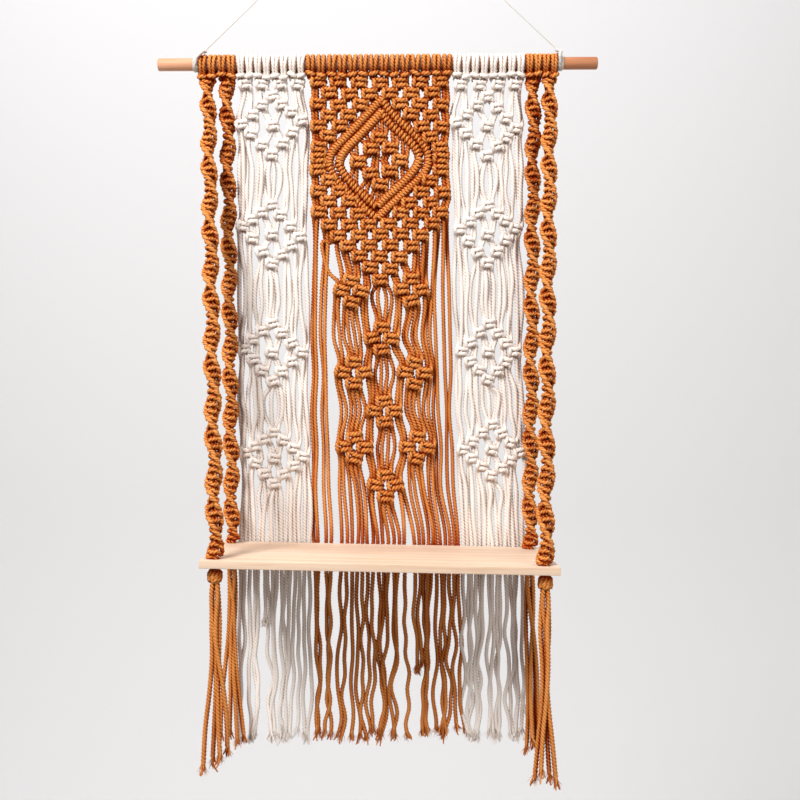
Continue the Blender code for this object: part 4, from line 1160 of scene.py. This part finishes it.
def make_board(look):
    """A planed board with four round holes and worn edges."""
    curve = new_curve("shelf_outline", "2D")
    curve.fill_mode = "BOTH"
    curve.extrude = (BOARD_THICKNESS / 2 - BOARD_EDGE) / 1000
    curve.bevel_depth = BOARD_EDGE / 1000
    curve.bevel_resolution = 2
    half_x, half_y = BOARD_LENGTH / 2 - BOARD_EDGE, BOARD_DEPTH / 2 - BOARD_EDGE
    outlines = [[(-half_x, -half_y), (half_x, -half_y), (half_x, half_y), (-half_x, half_y)]]
    middle_front = BOARD_FRONT + BOARD_DEPTH / 2
    radius = HOLE_RADIUS + BOARD_EDGE
    for x, front in hole_places().values():
        outlines.append([(x - BOARD_MIDDLE_X + radius * cos(2 * pi * side / HOLE_SIDES),
                          middle_front - front + radius * sin(2 * pi * side / HOLE_SIDES))
                         for side in range(HOLE_SIDES)])
    for outline in outlines:
        spline = curve.splines.new("POLY")
        spline.points.add(len(outline) - 1)
        for point, (x, y) in zip(spline.points, outline):
            point.co = (x / 1000, y / 1000, 0, 1)
        spline.use_cyclic_u = True
    work = bmesh.new()
    work.from_mesh(plain_mesh(linked("shelf_outline", curve)))
    bmesh.ops.remove_doubles(work, verts=work.verts[:], dist=0.00002)
    bmesh.ops.transform(work, verts=work.verts[:], matrix=Matrix.Translation(
        (BOARD_MIDDLE_X / 1000, -middle_front / 1000, (BOARD_TOP - BOARD_THICKNESS / 2) / 1000))
        @ Matrix.Rotation(BOARD_TILT, 4, "Y"))
    return finished("shelf_pine_board", work, look, smooth_angle=35)


def fit(piece, slot, *nodes):
    """Put a finished piece in the place of its CAD nodes."""
    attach(piece, "root")
    if nodes:
        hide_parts(*nodes)


def ends_of(ways):
    """Where ways end below the board, and how they point there; a bushy end counts several times."""
    found = []
    for way in ways:
        for tip, before in ((way[-1], way[-2]), (way[0], way[1])):
            if tip[2] < TIPS_BELOW:
                bushy = BUSHY_ENDS if tip[2] > BUSHY_ABOVE else 1
                found += [(tip, Vector(tip[:3]) - Vector(before[:3]))] * bushy
    return found


# ---- stage ---------------------------------------------------------------------------------------

def make_stage():
    """A pale sweep far behind and below, the lights and the camera."""
    paper = plain_material("pale_paper", PAPER_COLOUR, PAPER_ROUGHNESS)
    work = bmesh.new()
    outline = [(SWEEP_FRONT, SWEEP_FLOOR)]
    for step in range(SWEEP_STEPS + 1):
        angle = radians(90 * step / SWEEP_STEPS)
        outline.append((SWEEP_BACK - SWEEP_BEND + SWEEP_BEND * sin(angle),
                        SWEEP_FLOOR + SWEEP_BEND - SWEEP_BEND * cos(angle)))
    outline.append((SWEEP_BACK, SWEEP_TOP))
    rows = [[work.verts.new((x, y, z)) for x in (-SWEEP_HALF_WIDTH, SWEEP_HALF_WIDTH)] for y, z in outline]
    for one, other in zip(rows, rows[1:]):
        work.faces.new((one[0], one[1], other[1], other[0]))
    sweep = finished("backdrop_sweep", work, paper, smooth_angle=60)

    for name, (spot, aim, width, power, colour) in LIGHTS.items():
        lamp = bpy.data.lights.new(name, "AREA")
        lamp.shape = "DISK"
        lamp.size = width
        lamp.energy = power
        lamp.color = colour
        light = linked(name, lamp)
        light.location = spot
        light.rotation_euler = (Vector(aim) - Vector(spot)).to_track_quat("-Z", "Y").to_euler()
    world = bpy.data.worlds.new("studio")
    bpy.context.scene.world = world
    world.use_nodes = True
    air = world.node_tree.nodes["Background"]
    air.inputs["Color"].default_value = (*WORLD_COLOUR, 1)
    air.inputs["Strength"].default_value = WORLD_STRENGTH

    lens = bpy.data.cameras.new("camera")
    lens.sensor_width = SENSOR_WIDTH
    lens.lens = SENSOR_WIDTH * FOCAL_LENGTH / PICTURE_WIDTH
    camera = linked("camera", lens)
    camera.location = CAMERA_PLACE
    camera.rotation_euler = (pi / 2 - atan(LOOK_DOWN / FOCAL_LENGTH), 0, -atan(LOOK_RIGHT / FOCAL_LENGTH))
    bpy.context.scene.camera = camera
    bpy.context.scene.view_settings.view_transform = "Standard"


make_stage()
CORD_TREE = twisted_cord_tree()
FRAY_TREE = frayed_end_tree()
# Each cotton runs from a dark colour to a pale one; the dark end is reached mostly through painted shade in
# grooves and where cords or parts lie close.
orange = cord_material(
    "orange_cotton", (0.30, 0.020, 0.0003), (0.39, 0.093, 0.009), (0.79, 0.335, 0.095),
    sheen=0.0, crests=0.52, occlusion_shade_strength=1.15, reach=0.03, dimming=0.245)
white = cord_material(
    "white_cotton", (0.50, 0.375, 0.30), (0.83, 0.765, 0.715), (0.92, 0.88, 0.845),
    sheen=0.05, crests=0.42, occlusion_shade_strength=0.5, reach=0.06, dimming=0.03)
twine_look = cord_material(
    "white_twine", (0.50, 0.44, 0.40), (0.68, 0.645, 0.61), (0.77, 0.745, 0.71),
    sheen=0.05, crests=0.36, occlusion_shade_strength=0.3, reach=0.11, dimming=0.0)
pine = wood_material(
    "pine_wood", (0.58, 0.33, 0.20), (0.76, 0.575, 0.43), (0.86, 0.71, 0.58),
    ring_scale=330, grain=(9, 300, 300), roughness=0.55, knotty=0.03, painted_falloff_shade=0.0)
# The dowel gets painted shade that darkens it towards the right, in place of light falling off away from
# the left.
dowel = wood_material(
    "dowel_wood", (0.38, 0.125, 0.05), (0.56, 0.25, 0.125), (0.72, 0.40, 0.25),
    ring_scale=420, grain=(20, 700, 700), roughness=0.5, knotty=0.02, painted_falloff_shade=0.6)

fit(make_rod(dowel), "dowel_wood", "rod")
fit(make_board(pine), "pine_wood", "shelf_board")

tips = {"white": [], "orange": []}
for side in ("left", "right"):
    ways = white_panel(side + "_white_panel").ways()
    fit(cords(side + "_white_cords", ways, white, radius=WHITE_CORD, groove=WHITE_GROOVE), "white_cotton",
        side + "_white_panel")
    tips["white"] += ends_of(ways)

weave = centre_panel()
half = CENTRE_STRANDS // 2
for side, first, last in (("left", 1, half), ("right", half + 1, CENTRE_STRANDS)):
    ways = weave.ways(first, last)
    fit(cords("centre_" + side + "_cords", ways, orange), "orange_cotton", "centre_panel")
    tips["orange"] += ends_of(ways)
ways = hitched_diamond(OUTER_SIDES) + hitched_diamond(INNER_SIDES)
fit(cords("centre_hitched_diamonds", ways, orange, groove=COIL_GROOVE, softness=COIL_SOFTNESS),
    "orange_cotton", "centre_panel")

for name in hole_places():
    fit(cords("hanger_" + name + "_cords", hanger(name), orange, softness=SINNET_SOFTNESS),
        "orange_cotton", "hanger_" + name)
    ways = tassel(name)
    fit(cords("tassel_" + name + "_cords", ways, orange), "orange_cotton", "tassel_" + name)
    tips["orange"] += ends_of(ways)
fit(cords("hanging_twine_cord", twine(), twine_look, radius=TWINE, lead=TWINE_LEAD, step=TWINE_STEP,
          softness=TWINE_SOFTNESS), "white_twine", "hanging_twine")
for colour, look, radius in (("white", white, WHITE_CORD), ("orange", orange, ORANGE_CORD)):
    plies = cords(colour + "_parted_plies", unravelled(tips[colour]), look, radius=radius * PLY_THICKNESS,
                  step=PLY_STEP, groove=PARTED_GROOVE)
    fit(plies, colour + "_cotton")
    fit(frays(colour + "_frayed_ends", tips[colour], look, FIBRES), colour + "_cotton")
